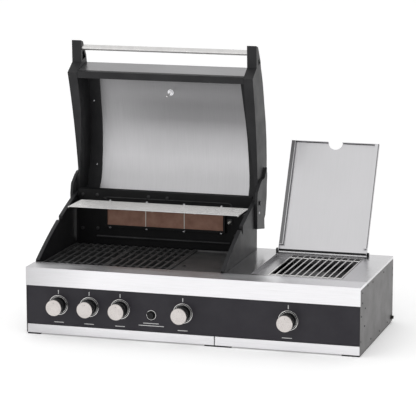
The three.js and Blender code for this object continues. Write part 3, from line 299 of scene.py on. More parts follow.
# Painted shade and reflection: a dark copy of the stainless for the side lid's folded returns.
SHADED_FOLD_STEEL = brushed_steel("fold_steel_painted_shade", 0.2, 0.35)
SIDE_LID_STEEL = brushed_steel("side_lid_steel", 0.71, 0.34, BRUSH_UP, contrast=0.03)
CHROME = bright_metal("bright_wire", (0.82, 0.81, 0.80), 0.2)
SATIN = bright_metal("knob_steel", (0.66, 0.62, 0.60), 0.26)
SCREW = bright_metal("screw_steel", (0.85, 0.85, 0.87), 0.24)
PANEL = coated("panel_enamel", (0.022, 0.020, 0.026), (0.030, 0.028, 0.034), 0.42)
SIDE = coated("side_powder_coat", (0.155, 0.151, 0.151), (0.185, 0.18, 0.18), 0.5, strength=0.25)
CASTING = coated(
    "casting_coat", (0.015, 0.015, 0.0165), (0.024, 0.024, 0.0255), 0.44, 600, 0.3, 0.0004,
)
BLACK_COAT = coated(
    "firebox_enamel", (0.006, 0.006, 0.0065), (0.0105, 0.0105, 0.011), 0.42, gloss=0.14,
)
IRON = cast("grate_iron", (0.046, 0.046, 0.047), (0.078, 0.078, 0.079), 0.4, 0.3)
BLACK = coated("knob_plastic", (0.005, 0.005, 0.006), (0.010, 0.010, 0.011), 0.32, 1400, 0.08)
DISH = coated(
    "bezel_enamel", (0.006, 0.006, 0.007), (0.012, 0.012, 0.013), 0.14, 1400, 0.02, gloss=0.4,
)
RUBBER = coated("foot_rubber", (0.008, 0.008, 0.008), (0.014, 0.014, 0.014), 0.8, 700, 0.4)
TILE = tile_ceramic()
WHITE = coated("white_glaze", (0.62, 0.61, 0.57), (0.74, 0.73, 0.69), 0.25, 1200, 0.05)
MARK = coated("white_print", (0.6, 0.6, 0.6), (0.7, 0.7, 0.7), 0.5, 1500, 0.05)
# Blackened screw heads, and also the thin dark bars of painted shade in the side lid's creases.
DARK_SCREW_AND_SHADE_LINE = bright_metal("blackened_screw_and_shade_line", (0.06, 0.06, 0.062), 0.4)
BRASS = bright_metal("valve_brass", (0.62, 0.45, 0.2), 0.3)
DIAL = coated("dial_face", (0.62, 0.62, 0.6), (0.7, 0.7, 0.68), 0.35, 1500, 0.03)
NEEDLE = coated("needle_red", (0.4, 0.02, 0.015), (0.5, 0.03, 0.02), 0.4, 1500, 0.03)


# ---------------------------------------------------------------- pieces
SMOOTH_LIMIT = math.radians(38)


def piece(name, bm, material, body, recalculate=True):
    """Turns a bmesh in metres into a finished piece that rides on a body."""
    if recalculate:
        bmesh.ops.remove_doubles(bm, verts=bm.verts, dist=1e-7)
        bmesh.ops.recalc_face_normals(bm, faces=bm.faces)
    for edge in bm.edges:
        if len(edge.link_faces) == 2:
            edge.smooth = edge.calc_face_angle() < SMOOTH_LIMIT
    for face in bm.faces:
        face.smooth = True
    mesh = bpy.data.meshes.new(name)
    bm.to_mesh(mesh)
    bm.free()
    mesh.materials.append(material)
    obj = bpy.data.objects.new(name, mesh)
    bpy.context.scene.collection.objects.link(obj)
    weighted = obj.modifiers.new("face_weighted_normals", "WEIGHTED_NORMAL")
    weighted.keep_sharp = True
    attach(obj, body)
    return obj


BEVEL_LIMIT = math.radians(25)  # edges sharper than this are rounded
BEVEL_SEGMENTS = 2


def bevelled(bm, width):
    """Rounds the sharp edges; the width is in millimetres."""
    sharp = [
        edge
        for edge in bm.edges
        if len(edge.link_faces) == 2 and edge.calc_face_angle() > BEVEL_LIMIT
    ]
    bmesh.ops.bevel(
        bm, geom=sharp, offset=width * MM, offset_type="OFFSET", segments=BEVEL_SEGMENTS,
        profile=0.5, affect="EDGES", clamp_overlap=True, material=-1,
    )


# Pieces with many openings in one flat face, which is split into triangles before the edges
# are rounded.
PIERCED = ("rear_panel", "firebox_pan", "grate_left", "grate_right")
PIERCED_CORNERS = 12
FLAT_LIMIT = math.radians(0.4)  # faces flatter than this to each other are joined first


def refined(node, material, width):
    """A CAD node's shape with its corners rounded as folded, cast or machined metal has them."""
    source = frame["nodes"][node]
    bm = bmesh.new()
    bm.from_mesh(source.data)
    bmesh.ops.remove_doubles(bm, verts=bm.verts, dist=1e-6)
    bmesh.ops.dissolve_limit(bm, angle_limit=FLAT_LIMIT, verts=bm.verts, edges=bm.edges)
    if node in PIERCED:
        faces = [face for face in bm.faces if len(face.verts) > PIERCED_CORNERS]
        bmesh.ops.triangulate(bm, faces=faces, ngon_method="EAR_CLIP")
    bevelled(bm, width)
    obj = piece(node + "_metal", bm, material, source["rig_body"], recalculate=False)
    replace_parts(obj, node)
    return obj


def add_block(bm, low, high, width=0.0):
    """A block between two corners, with its edges rounded."""
    part = bmesh.new()
    bmesh.ops.create_cube(part, size=1)
    size = high - low
    middle = (low + high) / 2
    bmesh.ops.scale(part, vec=size, verts=part.verts)
    bmesh.ops.translate(part, vec=middle, verts=part.verts)
    if width:
        bevelled(part, width)
    merge(bm, part)


def merge(bm, part, matrix=None):
    mesh = bpy.data.meshes.new("part")
    if matrix is not None:
        bmesh.ops.transform(part, matrix=matrix, verts=part.verts)
    part.to_mesh(mesh)
    part.free()
    bm.from_mesh(mesh)
    bpy.data.meshes.remove(mesh)


def add_turned(bm, profile, matrix, steps=40):
    """Spins (radius, height) points in millimetres about Z, then places the shape."""
    part = bmesh.new()
    points = [part.verts.new((radius, 0, height)) for radius, height in profile]
    edges = [part.edges.new(pair) for pair in zip(points, points[1:])]
    bmesh.ops.spin(
        part, geom=points + edges, cent=(0, 0, 0), axis=(0, 0, 1), angle=math.tau,
        steps=steps, use_merge=True,
    )
    bmesh.ops.remove_doubles(part, verts=part.verts, dist=1e-4)
    bmesh.ops.recalc_face_normals(part, faces=part.faces)
    merge(bm, part, matrix)


def facing(point, direction):
    """Places a turned shape in millimetres at a point, with its Z along a direction."""
    turn = Vector(direction).to_track_quat("Z", "Y").to_matrix().to_4x4()
    return Matrix.Translation(point) @ turn @ Matrix.Scale(MM, 4)


def add_bar(bm, start, end, radius, steps=12, dome=0.35):
    """A round bar in metres with softened ends; its radius is in millimetres."""
    length = (end - start).length / MM
    nose = radius * dome
    profile = [(0, 0), (radius - nose, 0), (radius, nose), (radius, length - nose),
               (radius - nose, length), (0, length)]
    add_turned(bm, profile, facing(start, end - start), steps)


def add_path(bm, points, radius, steps=10):
    """A bent rod through points, each bend covered by the next length's rounded end."""
    for start, end in zip(points, points[1:]):
        add_bar(bm, start, end, radius, steps, dome=0.5)


SCREW_PROFILE = [
    (0, 1.9), (1.1, 1.9), (1.3, 1.2), (1.9, 1.2), (2.1, 1.8), (3.0, 1.4), (3.6, 0.6), (3.7, 0),
    (0, 0),
]


def add_screw(bm, point, direction, size=1.0, steps=16):
    """A domed screw head; its size is a share of a 7.4 mm head."""
    profile = [(radius * size, height * size) for radius, height in SCREW_PROFILE]
    add_turned(bm, profile, facing(point, direction), steps)


# ---------------------------------------------------------------- sheet metal and castings
FINISHES = [
    ("front_rail", STEEL, 0.5, "stainless"),
    ("worktop", TOP_STEEL, 0.35, "stainless"),
    ("control_panel", PANEL, 0.3, "panel_paint"),
    ("lower_trim", STEEL, 0.4, "stainless"),
    ("tray_front", STEEL, 0.4, "stainless"),
    ("side_panel_left", SIDE, 0.4, "side_paint"),
    ("side_panel_right", SIDE, 0.4, "side_paint"),
    ("rear_panel", SIDE, 0.3, "side_paint"),
    ("base_pan", SIDE, 0.4, "side_paint"),
    ("foot_rail_left", RUBBER, 1.0, "foot_rubber"),
    ("foot_rail_middle", RUBBER, 1.0, "foot_rubber"),
    ("foot_rail_right", RUBBER, 1.0, "foot_rubber"),
    ("gas_manifold", BRASS, 0.8, "brass"),
    ("firebox_wall_left", CASTING, 1.2, "casting"),
    ("firebox_wall_right", CASTING, 1.2, "casting"),
    ("firebox_rear", BLACK_COAT, 0.8, "lining"),
    ("firebox_pan", BLACK_COAT, 0.8, "lining"),
    ("rear_burner_box", BLACK_COAT, 0.7, "lining"),
    ("rear_burner_tiles", TILE, 0.4, "ceramic"),
    ("grate_left", IRON, 1.6, "cast_iron"),
    ("grate_right", IRON, 1.6, "cast_iron"),
    ("griddle", IRON, 1.4, "cast_iron"),
    ("grease_tray", STEEL, 0.4, "stainless"),
    ("side_well", WELL_STEEL, 0.35, "stainless"),
    ("side_lid", SIDE_LID_STEEL, 0.4, "stainless"),
    ("side_hinge", BLACK, 0.8, "black"),
    ("lid_end_left", CASTING, 1.6, "casting"),
    ("lid_end_right", CASTING, 1.6, "casting"),
    ("lid_skin", LID_STEEL, 0.3, "stainless"),
    ("lid_lining", LINING_STEEL, 0.3, "stainless"),
    ("lid_beam", CASTING, 1.5, "casting"),
]
for index in (1, 2, 3):
    FINISHES.append((f"burner_{index}", STEEL, 0.6, "stainless"))
    FINISHES.append((f"heat_tent_{index}", STEEL, 0.3, "stainless"))
for index in range(1, 6):
    FINISHES.append((f"valve_spindle_{index}", BRASS, 0.4, "brass"))
for node, material, width, slot in FINISHES:
    refined(node, material, width)


# ---------------------------------------------------------------- knobs and igniter
def knob_centre(index):
    low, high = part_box(f"knob_{index}")
    return (low.x + high.x) / 2, low.y, (low.z + high.z) / 2, high.y


PIP_RISE = 17.5
PIP_SINK = 0.0004
PIP_PROFILE = [(0, 0), (1.5, 0), (1.5, 0.1), (0, 0.1)]


def make_knob(index):
    x, front, z, back = knob_centre(index)
    length = (back - front) / MM
    body = f"knob_{index}"
    outwards = facing(Vector((x, back, z)), (0, -1, 0))
    skirt = bmesh.new()
    profile = [
        (4.4, 0), (22.5, 0), (23.6, 0.8), (24.2, 6), (24.4, 15), (23.6, 15.6), (23.6, 17),
        (24.6, 17.6), (25.2, 30), (25.4, length - 7), (0, length - 7), (0, length - 24),
        (4.4, length - 24), (4.4, 0),
    ]
    add_turned(skirt, profile, outwards, 48)
    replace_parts(piece(f"knob_skirt_{index}", skirt, BLACK, body), body)
    face = bmesh.new()
    profile = [
        (0, length - 6.6), (26.4, length - 6.6), (27.4, length - 5.8), (27.5, length - 1.6),
        (26.9, length - 0.5), (25.8, length), (25.0, length - 0.1), (12, length - 0.45),
        (0, length - 0.55),
    ]
    add_turned(face, profile, outwards, 56)
    piece(f"knob_face_{index}", face, SATIN, body)
    pip = bmesh.new()
    spot = Vector((x, front, z + PIP_RISE * MM)) + Vector((0, PIP_SINK, 0))
    add_turned(pip, PIP_PROFILE, facing(spot, (0, -1, 0)), 16)
    piece(f"knob_pip_{index}", pip, BLACK, body)


BEZEL_RINGS = ((31.6, 33.8), (28.0, 29.2))  # inner and outer radius


def make_bezel(index):
    x, _, z, _ = knob_centre(index)
    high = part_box(f"knob_bezel_{index}")[1]
    outwards = facing(Vector((x, high.y, z)), (0, -1, 0))
    dish = bmesh.new()
    profile = [
        (8, 0), (33.4, 0), (33.4, 1.4), (32.2, 1.4), (30.2, 0.9), (28.6, 1.8), (24, 2.4),
        (20, 2.2), (8, 2.2), (8, 0),
    ]
    add_turned(dish, profile, outwards, 56)
    obj = piece(f"bezel_dish_{index}", dish, DISH, "cabinet")
    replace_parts(obj, f"knob_bezel_{index}")
    rings = bmesh.new()
    for inner, outer in BEZEL_RINGS:
        band = [
            (inner, 0.9), (inner + 0.3, 2.2), (outer - 0.5, 2.2), (outer, 1.7), (outer, 0.9),
            (inner, 0.9),
        ]
        add_turned(rings, band, outwards, 64)
    piece(f"bezel_rings_{index}", rings, CHROME, "cabinet")


for index in range(1, 6):
    make_knob(index)
    make_bezel(index)

button_low, button_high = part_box("igniter_button")
BUTTON_X = (button_low.x + button_high.x) / 2
BUTTON_Z = (button_low.z + button_high.z) / 2
BUTTON_RADIUS = (button_high.x - button_low.x) / 2 / MM
button_length = (button_high.y - button_low.y) / MM
button = bmesh.new()
profile = [
    (0, 0), (BUTTON_RADIUS - 0.5, 0), (BUTTON_RADIUS, 0.5), (BUTTON_RADIUS, button_length - 1.6),
    (BUTTON_RADIUS - 0.5, button_length - 0.6), (BUTTON_RADIUS - 1.6, button_length),
    (BUTTON_RADIUS - 4, button_length - 0.8), (0, button_length - 1.2),
]
add_turned(button, profile, facing(Vector((BUTTON_X, button_high.y, BUTTON_Z)), (0, -1, 0)), 40)
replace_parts(piece("igniter_cap", button, BLACK, "igniter_button"), "igniter_button")
collar = bmesh.new()
inner = BUTTON_RADIUS + 0.4
collar_place = facing(Vector((BUTTON_X, PANEL_FACE - 0.00005, BUTTON_Z)), (0, -1, 0))
profile = [
    (inner, 0), (inner, 3.0), (inner + 0.8, 3.6), (14.6, 1.8), (15, 1), (15, 0), (inner, 0),
]
add_turned(collar, profile, collar_place, 48)
piece("igniter_collar", collar, DISH, "cabinet")
ring = bmesh.new()
profile = [(14.8, 0), (14.8, 2.2), (15.4, 2.8), (16.6, 2.2), (17.2, 0.8), (17.2, 0), (14.8, 0)]
add_turned(ring, profile, collar_place, 48)
piece("igniter_ring", ring, CHROME, "cabinet")

# Plain lines where the controls' labels would be: middle across, height, half length.
LABEL_LINES = [
    (-460, 47, 17), (-353, 47, 17), (-244, 47, 17), (-26, 47, 17), (330, 47, 17),
    (-135.5, 64, 27), (-134.5, 56, 44),
]
MARK_FRONT = PANEL_FACE - 0.0003
MARK_BACK = PANEL_FACE - 0.00002
MARK_HALF = 0.0013
MARK_LOW, MARK_HIGH = 0.0385, 0.0515  # a pointer mark's ends above its knob's centre
LINE_HALF = 1.1
marks = bmesh.new()
for index in range(1, 6):
    x, _, z, _ = knob_centre(index)
    add_block(
        marks, Vector((x - MARK_HALF, MARK_FRONT, z + MARK_LOW)),
        Vector((x + MARK_HALF, MARK_BACK, z + MARK_HIGH)), 0.1,
    )
for x, z, half in LABEL_LINES:
    add_block(
        marks, Vector((at(x - half, 0, 0).x, MARK_FRONT, (z - LINE_HALF) * MM)),
        Vector((at(x + half, 0, 0).x, MARK_BACK, (z + LINE_HALF) * MM)), 0.1,
    )
piece("pointer_marks", marks, MARK, "cabinet")


# ---------------------------------------------------------------- lid trim
def make_handle():
    low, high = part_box("lid_handle")
    radius = (high.z - low.z) / 2 / MM
    middle_y, middle_z = (low.y + high.y) / 2, (low.z + high.z) / 2
    bm = bmesh.new()
    length = (high.x - low.x) / MM
    profile = [
        (0, 0), (radius - 1, 0), (radius, 1), (radius, length / 2), (radius, length - 1),
        (radius - 1, length), (0, length),
    ]
    add_turned(bm, profile, facing(Vector((low.x, middle_y, middle_z)), (1, 0, 0)), 48)
    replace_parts(piece("handle_tube", bm, HANDLE_STEEL, "main_lid"), "lid_handle")


HANDLE_STEEL = bright_metal("handle_steel", (0.78, 0.77, 0.76), 0.3)
make_handle()


# ---------------------------------------------------------------- racks
RACK_WIRE = 1.7
RACK_WIRES = 13
RACK_TIES = 5


def make_warming_rack():
    low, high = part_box("warming_rack")
    wire = RACK_WIRE
    bm = bmesh.new()
    top = high.z - wire * MM
    for step in range(RACK_WIRES):
        y = low.y + wire * MM + (high.y - low.y - 2 * wire * MM) * step / (RACK_WIRES - 1)
        add_bar(bm, Vector((low.x, y, top)), Vector((high.x, y, top)), wire, 10)
    bottom = low.z + wire * MM
    for step in range(RACK_TIES):
        x = low.x + wire * MM + (high.x - low.x - 2 * wire * MM) * step / (RACK_TIES - 1)
        add_bar(bm, Vector((x, low.y, bottom)), Vector((x, high.y, bottom)), wire, 10)
    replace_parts(piece("rack_wires", bm, CHROME, "warming_rack"), "warming_rack")


GRATE_BARS = 12
GRATE_ROD = 2.4  # radius of the cross rods and legs; the sizes below are in metres
GRATE_BAR_HALF = 2.8 * MM
GRATE_BAR_DEPTH = 0.005
GRATE_BAR_END = 0.0005
GRATE_ROD_DROP = 0.0034
GRATE_ROD_END = 0.001
GRATE_ROD_INSET = 0.026
GRATE_LEG_INSET = 0.012


def make_side_grate():
    low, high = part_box("side_grate")
    bm = bmesh.new()
    half = GRATE_BAR_HALF
    top = high.z
    left, right = low.x + half, high.x - half
    for step in range(GRATE_BARS):
        x = left + (right - left) * step / (GRATE_BARS - 1)
        add_block(
            bm, Vector((x - half, low.y + GRATE_BAR_END, top - GRATE_BAR_DEPTH)),
            Vector((x + half, high.y - GRATE_BAR_END, top)), 1.1,
        )
    height = top - GRATE_ROD_DROP
    for y in (low.y + GRATE_ROD_INSET, high.y - GRATE_ROD_INSET):
        start = Vector((low.x + GRATE_ROD_END, y, height))
        add_bar(bm, start, Vector((high.x - GRATE_ROD_END, y, height)), GRATE_ROD, 10)
        for x in (left + GRATE_LEG_INSET, right - GRATE_LEG_INSET):
            foot, head = Vector((x, y, low.z)), Vector((x, y, top - GRATE_BAR_DEPTH))
            add_bar(bm, foot, head, GRATE_ROD, 10)
    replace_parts(piece("side_grate_bars", bm, CHROME, "side_grate"), "side_grate")


make_warming_rack()
make_side_grate()


SIDE_LID_LENGTH = 398.5
SIDE_LID_HALF = 156.5  # half its width
SIDE_LID_DEPTH = 6.2
# Radius of the thin dark bars that stand as painted shade in the side lid's creases.
SIDE_LID_SHADE_LINE = 0.9
SIDE_LID_NOTCH = 26.5  # half the gap that the front painted shade line leaves for the thumb notch
SIDE_LID_FOLDS = ((-155.4, -144), (153.2, 156.2))  # the folded strips' edges across
SIDE_LID_TURN = Matrix.Rotation(
    math.radians(JOINTS["side_lid_hinge"]["range_deg"][0]), 3, "X",
)


def on_side_lid(x, y, z):
    """A point of the shut side lid, in millimetres from its hinge axis, with the lid open."""
    hinge = Vector(JOINTS["side_lid_hinge"]["pos_m"])
    return Vector((WELL_X, hinge.y, hinge.z)) + SIDE_LID_TURN @ Vector((x * MM, y * MM, z * MM))


def make_side_lid_shade_lines():
    """Painted shade: dark lines and strips where the side lid's sheet is folded over at its edges.
    """
    bm = bmesh.new()
    inside = SIDE_LID_DEPTH - 2.3
    edge = SIDE_LID_HALF - 2.2
    nose = -SIDE_LID_LENGTH + 2.4
    # Painted shade: thin dark bars along the creases at the sides and the nose.
    for side in (-1, 1):
        start, end = on_side_lid(side * edge, nose, inside), on_side_lid(side * edge, -22, inside)
        add_bar(bm, start, end, SIDE_LID_SHADE_LINE, 8)
        end = on_side_lid(side * SIDE_LID_NOTCH, nose, inside)
        add_bar(bm, start, end, SIDE_LID_SHADE_LINE, 8)
    piece("side_lid_shade_lines", bm, DARK_SCREW_AND_SHADE_LINE, "side_lid")
    # Folded returns as thin strips, coloured dark as painted shade and reflection.
    folds = bmesh.new()
    under = -SIDE_LID_DEPTH
    for left, right in SIDE_LID_FOLDS:
        part = bmesh.new()
        low, high = Vector((left, nose - 1.6, under - 0.3)), Vector((right, -20, under + 0.2))
        add_block(part, low, high)
        corner = on_side_lid(0, 0, 0)
        turn = Matrix.Translation(corner) @ SIDE_LID_TURN.to_4x4() @ Matrix.Scale(MM, 4)
        merge(folds, part, turn)
    piece("side_lid_shaded_folds", folds, SHADED_FOLD_STEEL, "side_lid")


make_side_lid_shade_lines()


BURNER_PORTS = 30
PORT_RING = 0.0425  # metres
PORT_HEIGHT = 0.0412
PORT_PROFILE = [(0, 1.4), (1.4, 1.4), (1.6, 0), (0, 0)]


def make_side_burner():
    low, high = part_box("side_burner")
    x, y = (low.x + high.x) / 2, (low.y + high.y) / 2
    base = facing(Vector((x, y, low.z)), (0, 0, 1))
    rise = (high.z - low.z) / MM
    bm = bmesh.new()
    profile = [
        (0, 0), (8.6, 0), (9, 0.6), (9, 30), (34, 30.4), (45, 37.6), (46, 39), (44.6, 44),
        (42, 45.4), (31, rise - 0.4), (29, rise), (0, rise),
    ]
    add_turned(bm, profile, base, 48)
    for step in range(BURNER_PORTS):
        angle = step * math.tau / BURNER_PORTS
        direction = Vector((math.cos(angle), math.sin(angle), 0))
        spot = Vector((x, y, low.z)) + direction * PORT_RING + Vector((0, 0, PORT_HEIGHT))
        add_turned(bm, PORT_PROFILE, facing(spot, direction), 8)
    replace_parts(piece("side_burner_head", bm, IRON, "cabinet"), "side_burner")


make_side_burner()


# ---------------------------------------------------------------- rear wall, ceramic and electrode
# Places on the rear wall, across and up.
BEAD_OUTLINE = ((-452, 381), (-464, 386), (-448, 389), (-6, 389), (6, 384), (5, 374))
BEAD_FACE = 489.0
LOWER_BEAD = (at(-490, 484, 248), at(3, 484, 248))
REAR_SCREW_X = (-440, -304.5, -167, -31)
REAR_SCREW_ROWS = ((376, 489.6, 1.15), (283, 485.5, 1.6))  # height, face and size
REAR_BOLTS = (
    (-544, 273), (-487, 275), (-542, 394), (-488, 395), (-298, 397), (-229, 396), (62, 273),
    (20, 275),
)
REAR_BOLT_FACE = 489.6


def make_rear_wall_trim():
    bead = bmesh.new()
    add_path(bead, [at(x, BEAD_FACE, z) for x, z in BEAD_OUTLINE], 1.6)
    add_path(bead, LOWER_BEAD, 3.2)
    piece("rear_beads", bead, BLACK_EDGE, "cabinet")
    screws = bmesh.new()
    for x in REAR_SCREW_X:
        for z, y, size in REAR_SCREW_ROWS:
            add_screw(screws, at(x, y, z), (0, -1, 0), size)
    piece("rear_screws", screws, SCREW, "cabinet")
    bolts = bmesh.new()
    for x, z in REAR_BOLTS:
        add_screw(bolts, at(x, REAR_BOLT_FACE, z), (0, -1, 0), 1.7)
    piece("rear_bolts", bolts, BLACK_EDGE, "cabinet")
    joints = bmesh.new()
    tile_low, tile_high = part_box("rear_burner_tiles")
    third = (tile_high.x - tile_low.x) / 3
    middle = (tile_low.x + tile_high.x) / 2
    for side in (-0.5, 0.5):
        x = middle + side * third
        add_block(
            joints, Vector((x - 0.0012, tile_low.y - 0.0012, tile_low.z)),
            Vector((x + 0.0012, tile_low.y + 0.001, tile_high.z)), 0.3,
        )
    piece("tile_joints", joints, WHITE, "cabinet")


BLACK_EDGE = coated("worn_enamel", (0.02, 0.02, 0.021), (0.045, 0.045, 0.047), 0.35)
make_rear_wall_trim()


def make_electrode():
    low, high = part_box("rear_igniter")
    x, z = (low.x + high.x) / 2, (low.z + high.z) / 2
    bm = bmesh.new()
    start = Vector((x, high.y, z))
    profile = [
        (0, 0), (3.4, 0), (4, 0.8), (4, 8), (3.2, 9), (4, 10), (4, 14), (3.2, 15), (3.9, 16),
        (3.6, 24), (2.4, 25.5), (0, 25.5),
    ]
    add_turned(bm, profile, facing(start, (0, -1, 0)), 24)
    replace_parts(piece("electrode_ceramic", bm, WHITE, "cabinet"), "rear_igniter")
    tip = bmesh.new()
    add_bar(tip, start + Vector((0, -0.025, 0)), start + Vector((0, -0.0332, 0)), 1.1, 10)
    piece("electrode_tip", tip, SCREW, "cabinet")
    bracket = bmesh.new()
    add_block(
        bracket, Vector((x - 0.011, high.y - 0.0045, z - 0.009)),
        Vector((x + 0.007, high.y - 0.0025, z + 0.010)), 0.5,
    )
    piece("electrode_bracket", bracket, BLACK_EDGE, "cabinet")


make_electrode()


# ---------------------------------------------------------------- screws outside
# Places on a side panel, back from the fascia and up.
SIDE_SCREWS = (
    (29, 208), (31, 174), (15, 133), (63, 91), (73, 148), (11, 50), (109, 216), (187, 211),
    (358, 208), (508, 190), (508, 167), (507, 98), (165, 24), (300, 18), (430, 18),
)
SIDE_PANEL_OUT = 575


def make_side_screws():
    bm = bmesh.new()
    for y, z in SIDE_SCREWS:
        for side in (-1, 1):
            add_screw(bm, at(side * SIDE_PANEL_OUT, y, z), (side, 0, 0), 0.85, 12)
    piece("side_screws", bm, DARK_SCREW_AND_SHADE_LINE, "cabinet")


make_side_screws()


INLET_THREADS = 5


def make_gas_inlet():
    low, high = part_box("gas_inlet")
    y, z = (low.y + high.y) / 2, (low.z + high.z) / 2
    length = (high.x - low.x) / MM
    bm = bmesh.new()
    start = facing(Vector((low.x, y, z)), (1, 0, 0))
    add_turned(bm, [(0, 0), (8.8, 0), (8.8, 2.6), (8.2, 3), (0, 3)], start, 6)
    profile = [(0, 2.8), (5.6, 2.8), (6, 3.2)]
    for thread in range(INLET_THREADS):
        height = 3.6 + thread * (length - 4.6) / INLET_THREADS
        profile += [(5.4, height), (6, height + 0.5)]
    profile += [(6, length - 0.4), (5.4, length), (3.2, length), (3.2, length - 4), (0, length - 4)]
    add_turned(bm, profile, start, 28)
    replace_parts(piece("gas_inlet_fitting", bm, BRASS_DARK, "cabinet"), "gas_inlet")


BRASS_DARK = bright_metal("inlet_metal", (0.1, 0.095, 0.09), 0.4)
make_gas_inlet()


# ---------------------------------------------------------------- lid screws, bolts and dial
LID_IN = 301.0  # inner face of an end casting
ARM_OUT = 342.8  # just under the outer face of an arm
# Along the joint, away from it and inside the end casting.
LINING_SCREWS = [(138, 120, 12), (377, 115, 8)]
ARM_BOLT_BACK = 32  # behind the pivot
ARM_BOLT_BELOW = 10


def make_lid_fasteners():
    lining = bmesh.new()
    for side in (-1, 1):
        for u, v, inset in LINING_SCREWS:
            spot = on_lid(side * (LID_IN - inset), u, v)
            add_screw(lining, spot, LID.to_3x3() @ Vector((0, 0, -1)), 1.0)
    piece("lining_screws", lining, SCREW, "main_lid")
    arm_bolts = bmesh.new()
    for side in (-1, 1):
        place = on_lid(
            side * ARM_OUT, LID_PIVOT_U + ARM_BOLT_BACK, LID_PIVOT_V - ARM_BOLT_BELOW,
        )
        add_screw(arm_bolts, place, (side, 0, 0), 1.1)
    piece("arm_bolts", arm_bolts, SCREW, "main_lid")


make_lid_fasteners()


def lid_axis(u, v):
    """Places a turned shape on the lid, square to its joint, with Z away from the joint."""
    return LID @ Matrix.Translation(Vector((0, u, v)))


DIAL_U = 95.0  # how far the dial is back along the joint
DIAL_TICKS = 20  # steps of the scale
DIAL_START = -210  # degrees
DIAL_SWEEP = 240
NEEDLE_ANGLE = -200
NUT_DROP = 30  # from the dial's front to the nut's seat


def make_dial():
    top = dial_top()
    axis = lid_axis(DIAL_U, 0)
    case = bmesh.new()
    profile = [
        (0, top - 12), (28, top - 12), (30.4, top - 11.4), (31, top - 10), (31, top - 4),
        (30.4, top - 1.2), (29.4, top), (28.2, top), (27.6, top - 1.6), (0, top - 1.6),
    ]
    add_turned(case, profile, axis, 56)
    stem = [(0, top - 78), (2.2, top - 78), (3, top - 76), (3, top - 11), (0, top - 11)]
    add_turned(case, stem, axis, 20)
    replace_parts(piece("thermometer_case", case, CHROME, "main_lid"), "lid_thermometer")
    face = bmesh.new()
    profile = [(0, top - 1.7), (27.4, top - 1.7), (27.4, top - 1.2), (0, top - 1.2)]
    add_turned(face, profile, axis, 48)
    piece("thermometer_face", face, DIAL, "main_lid")
    ticks = bmesh.new()
    for step in range(DIAL_TICKS + 1):
        angle = math.radians(DIAL_START + DIAL_SWEEP * step / DIAL_TICKS)
        inner = 20 if step % 5 else 17.5
        turn = axis @ Matrix.Rotation(angle, 4, "Z")
        part = bmesh.new()
        bmesh.ops.create_cube(part, size=1)
        bmesh.ops.scale(part, vec=(24 - inner, 0.7, 0.3), verts=part.verts)
        bmesh.ops.translate(part, vec=((24 + inner) / 2, 0, top - 1.1), verts=part.verts)
        merge(ticks, part, turn)
    piece("thermometer_ticks", ticks, BLACK, "main_lid")
    needle = bmesh.new()
    turn = axis @ Matrix.Rotation(math.radians(NEEDLE_ANGLE), 4, "Z")
    part = bmesh.new()
    bmesh.ops.create_cone(part, cap_ends=True, segments=4, radius1=1.2, radius2=0.2, depth=21)
    quarter = Matrix.Rotation(math.radians(90), 3, "Y")
    bmesh.ops.rotate(part, cent=(0, 0, 0), matrix=quarter, verts=part.verts)
    bmesh.ops.translate(part, vec=(9, 0, 0), verts=part.verts)
    bmesh.ops.scale(part, vec=(1, 1, 0.3), verts=part.verts)
    bmesh.ops.translate(part, vec=(0, 0, top - 0.8), verts=part.verts)
    merge(needle, part, turn)
    hub = [(0, top - 1.3), (2.4, top - 1.3), (2.2, top - 0.3), (0, top - 0.2)]
    add_turned(needle, hub, axis, 20)
    piece("thermometer_needle", needle, NEEDLE, "main_lid")
    nut = bmesh.new()
    seat = top - NUT_DROP
    hexagon = [
        (3.1, seat - 9), (8, seat - 9), (8.6, seat - 8.4), (8.6, seat - 4), (8, seat - 3.4),
        (3.1, seat - 3.4),
    ]
    add_turned(nut, hexagon, axis, 6)
    washer = [(3.1, seat - 3.4), (11, seat - 3.4), (11, seat - 2), (3.1, seat - 2)]
    add_turned(nut, washer, axis, 28)
    piece("thermometer_nut", nut, SCREW, "main_lid")


def dial_top():
    """Height of the dial's front above the joint, from the CAD node's far end."""
    inverse = LID.inverted()
    node = frame["nodes"]["lid_thermometer"]
    return max((inverse @ vertex.co).z for vertex in node.data.vertices)


make_dial()

# ---------------------------------------------------------------- floor, light and camera
FLOOR_SIZE = 14.0
FLOOR_GLOW = 0.24  # keeps the floor as white as the backdrop


def make_floor():
    bm = bmesh.new()
    bmesh.ops.create_grid(bm, x_segments=8, y_segments=8, size=FLOOR_SIZE)
    material = coated("pale_floor", (0.93, 0.93, 0.93), (0.95, 0.95, 0.95), 0.7, 60, 0.02)
    shader = material.node_tree.nodes["Principled BSDF"]
    shader.inputs["Emission Color"].default_value = (1, 1, 1, 1)
    shader.inputs["Emission Strength"].default_value = FLOOR_GLOW
    mesh = bpy.data.meshes.new("floor")
    bm.to_mesh(mesh)
    bm.free()
    mesh.materials.append(material)
    floor = bpy.data.objects.new("floor", mesh)
    bpy.context.scene.collection.objects.link(floor)


WORLD_LIGHT = 0.9  # the surroundings' light on the grill; the backdrop itself is white
WORLD_RIGHT = 0.36  # and from the cook's right, the shaded side
WORLD_TURN = 0.25, 0.95  # where the one gives way to the other, as the direction's X


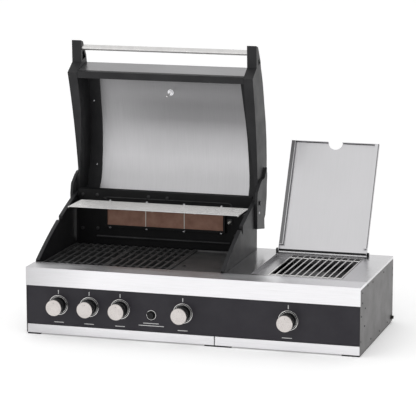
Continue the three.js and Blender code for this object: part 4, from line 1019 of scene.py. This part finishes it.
def make_world():
    world = bpy.data.worlds.new("studio")
    bpy.context.scene.world = world
    world.use_nodes = True
    nodes, links = world.node_tree.nodes, world.node_tree.links
    background = nodes["Background"]
    background.inputs["Color"].default_value = (1, 1, 1, 1)
    coordinates = nodes.new("ShaderNodeTexCoord")
    split = nodes.new("ShaderNodeSeparateXYZ")
    links.new(coordinates.outputs["Generated"], split.inputs[0])
    sideways = nodes.new("ShaderNodeMapRange")
    for socket, value in (
        ("From Min", WORLD_TURN[0]), ("From Max", WORLD_TURN[1]),
        ("To Min", WORLD_LIGHT), ("To Max", WORLD_RIGHT),
    ):
        sideways.inputs[socket].default_value = value
    links.new(split.outputs["X"], sideways.inputs["Value"])
    rays = nodes.new("ShaderNodeLightPath")
    strength = nodes.new("ShaderNodeMapRange")
    strength.inputs["To Max"].default_value = 1.0
    links.new(sideways.outputs["Result"], strength.inputs["To Min"])
    links.new(rays.outputs["Is Camera Ray"], strength.inputs["Value"])
    links.new(strength.outputs["Result"], background.inputs["Strength"])


OVERHEAD_PLACE = (-0.4, -1.2, 3.4)
OVERHEAD_TARGET = (0, 0, 0.3)
OVERHEAD_SIZE = (3.0, 2.2)
OVERHEAD_POWER = 16  # watts


def area_light(name, place, target, size, power):
    data = bpy.data.lights.new(name, "AREA")
    data.shape = "RECTANGLE"
    data.size, data.size_y = size
    data.energy = power
    light = bpy.data.objects.new(name, data)
    light.location = place
    light.rotation_euler = (Vector(target) - Vector(place)).to_track_quat("-Z", "Y").to_euler()
    light.visible_glossy = False
    bpy.context.scene.collection.objects.link(light)


CAMERA_PLACE = at(2065.65, -6830.14, 1819.8)
CAMERA_TARGET = at(-3.95, 229.96, 420.5)
CAMERA_SENSOR = 36
CAMERA_LENS = 192.4
CAMERA_REACH = 60  # metres


def make_camera():
    data = bpy.data.cameras.new("view")
    data.sensor_width = CAMERA_SENSOR
    data.lens = CAMERA_LENS
    data.clip_end = CAMERA_REACH
    camera = bpy.data.objects.new("view", data)
    place, target = CAMERA_PLACE, CAMERA_TARGET
    camera.location = place
    camera.rotation_euler = (target - place).to_track_quat("-Z", "Y").to_euler()
    bpy.context.scene.collection.objects.link(camera)
    bpy.context.scene.camera = camera


make_floor()
make_world()
area_light("overhead", OVERHEAD_PLACE, OVERHEAD_TARGET, OVERHEAD_SIZE, OVERHEAD_POWER)
make_camera()
bpy.context.scene.view_settings.view_transform = "Standard"
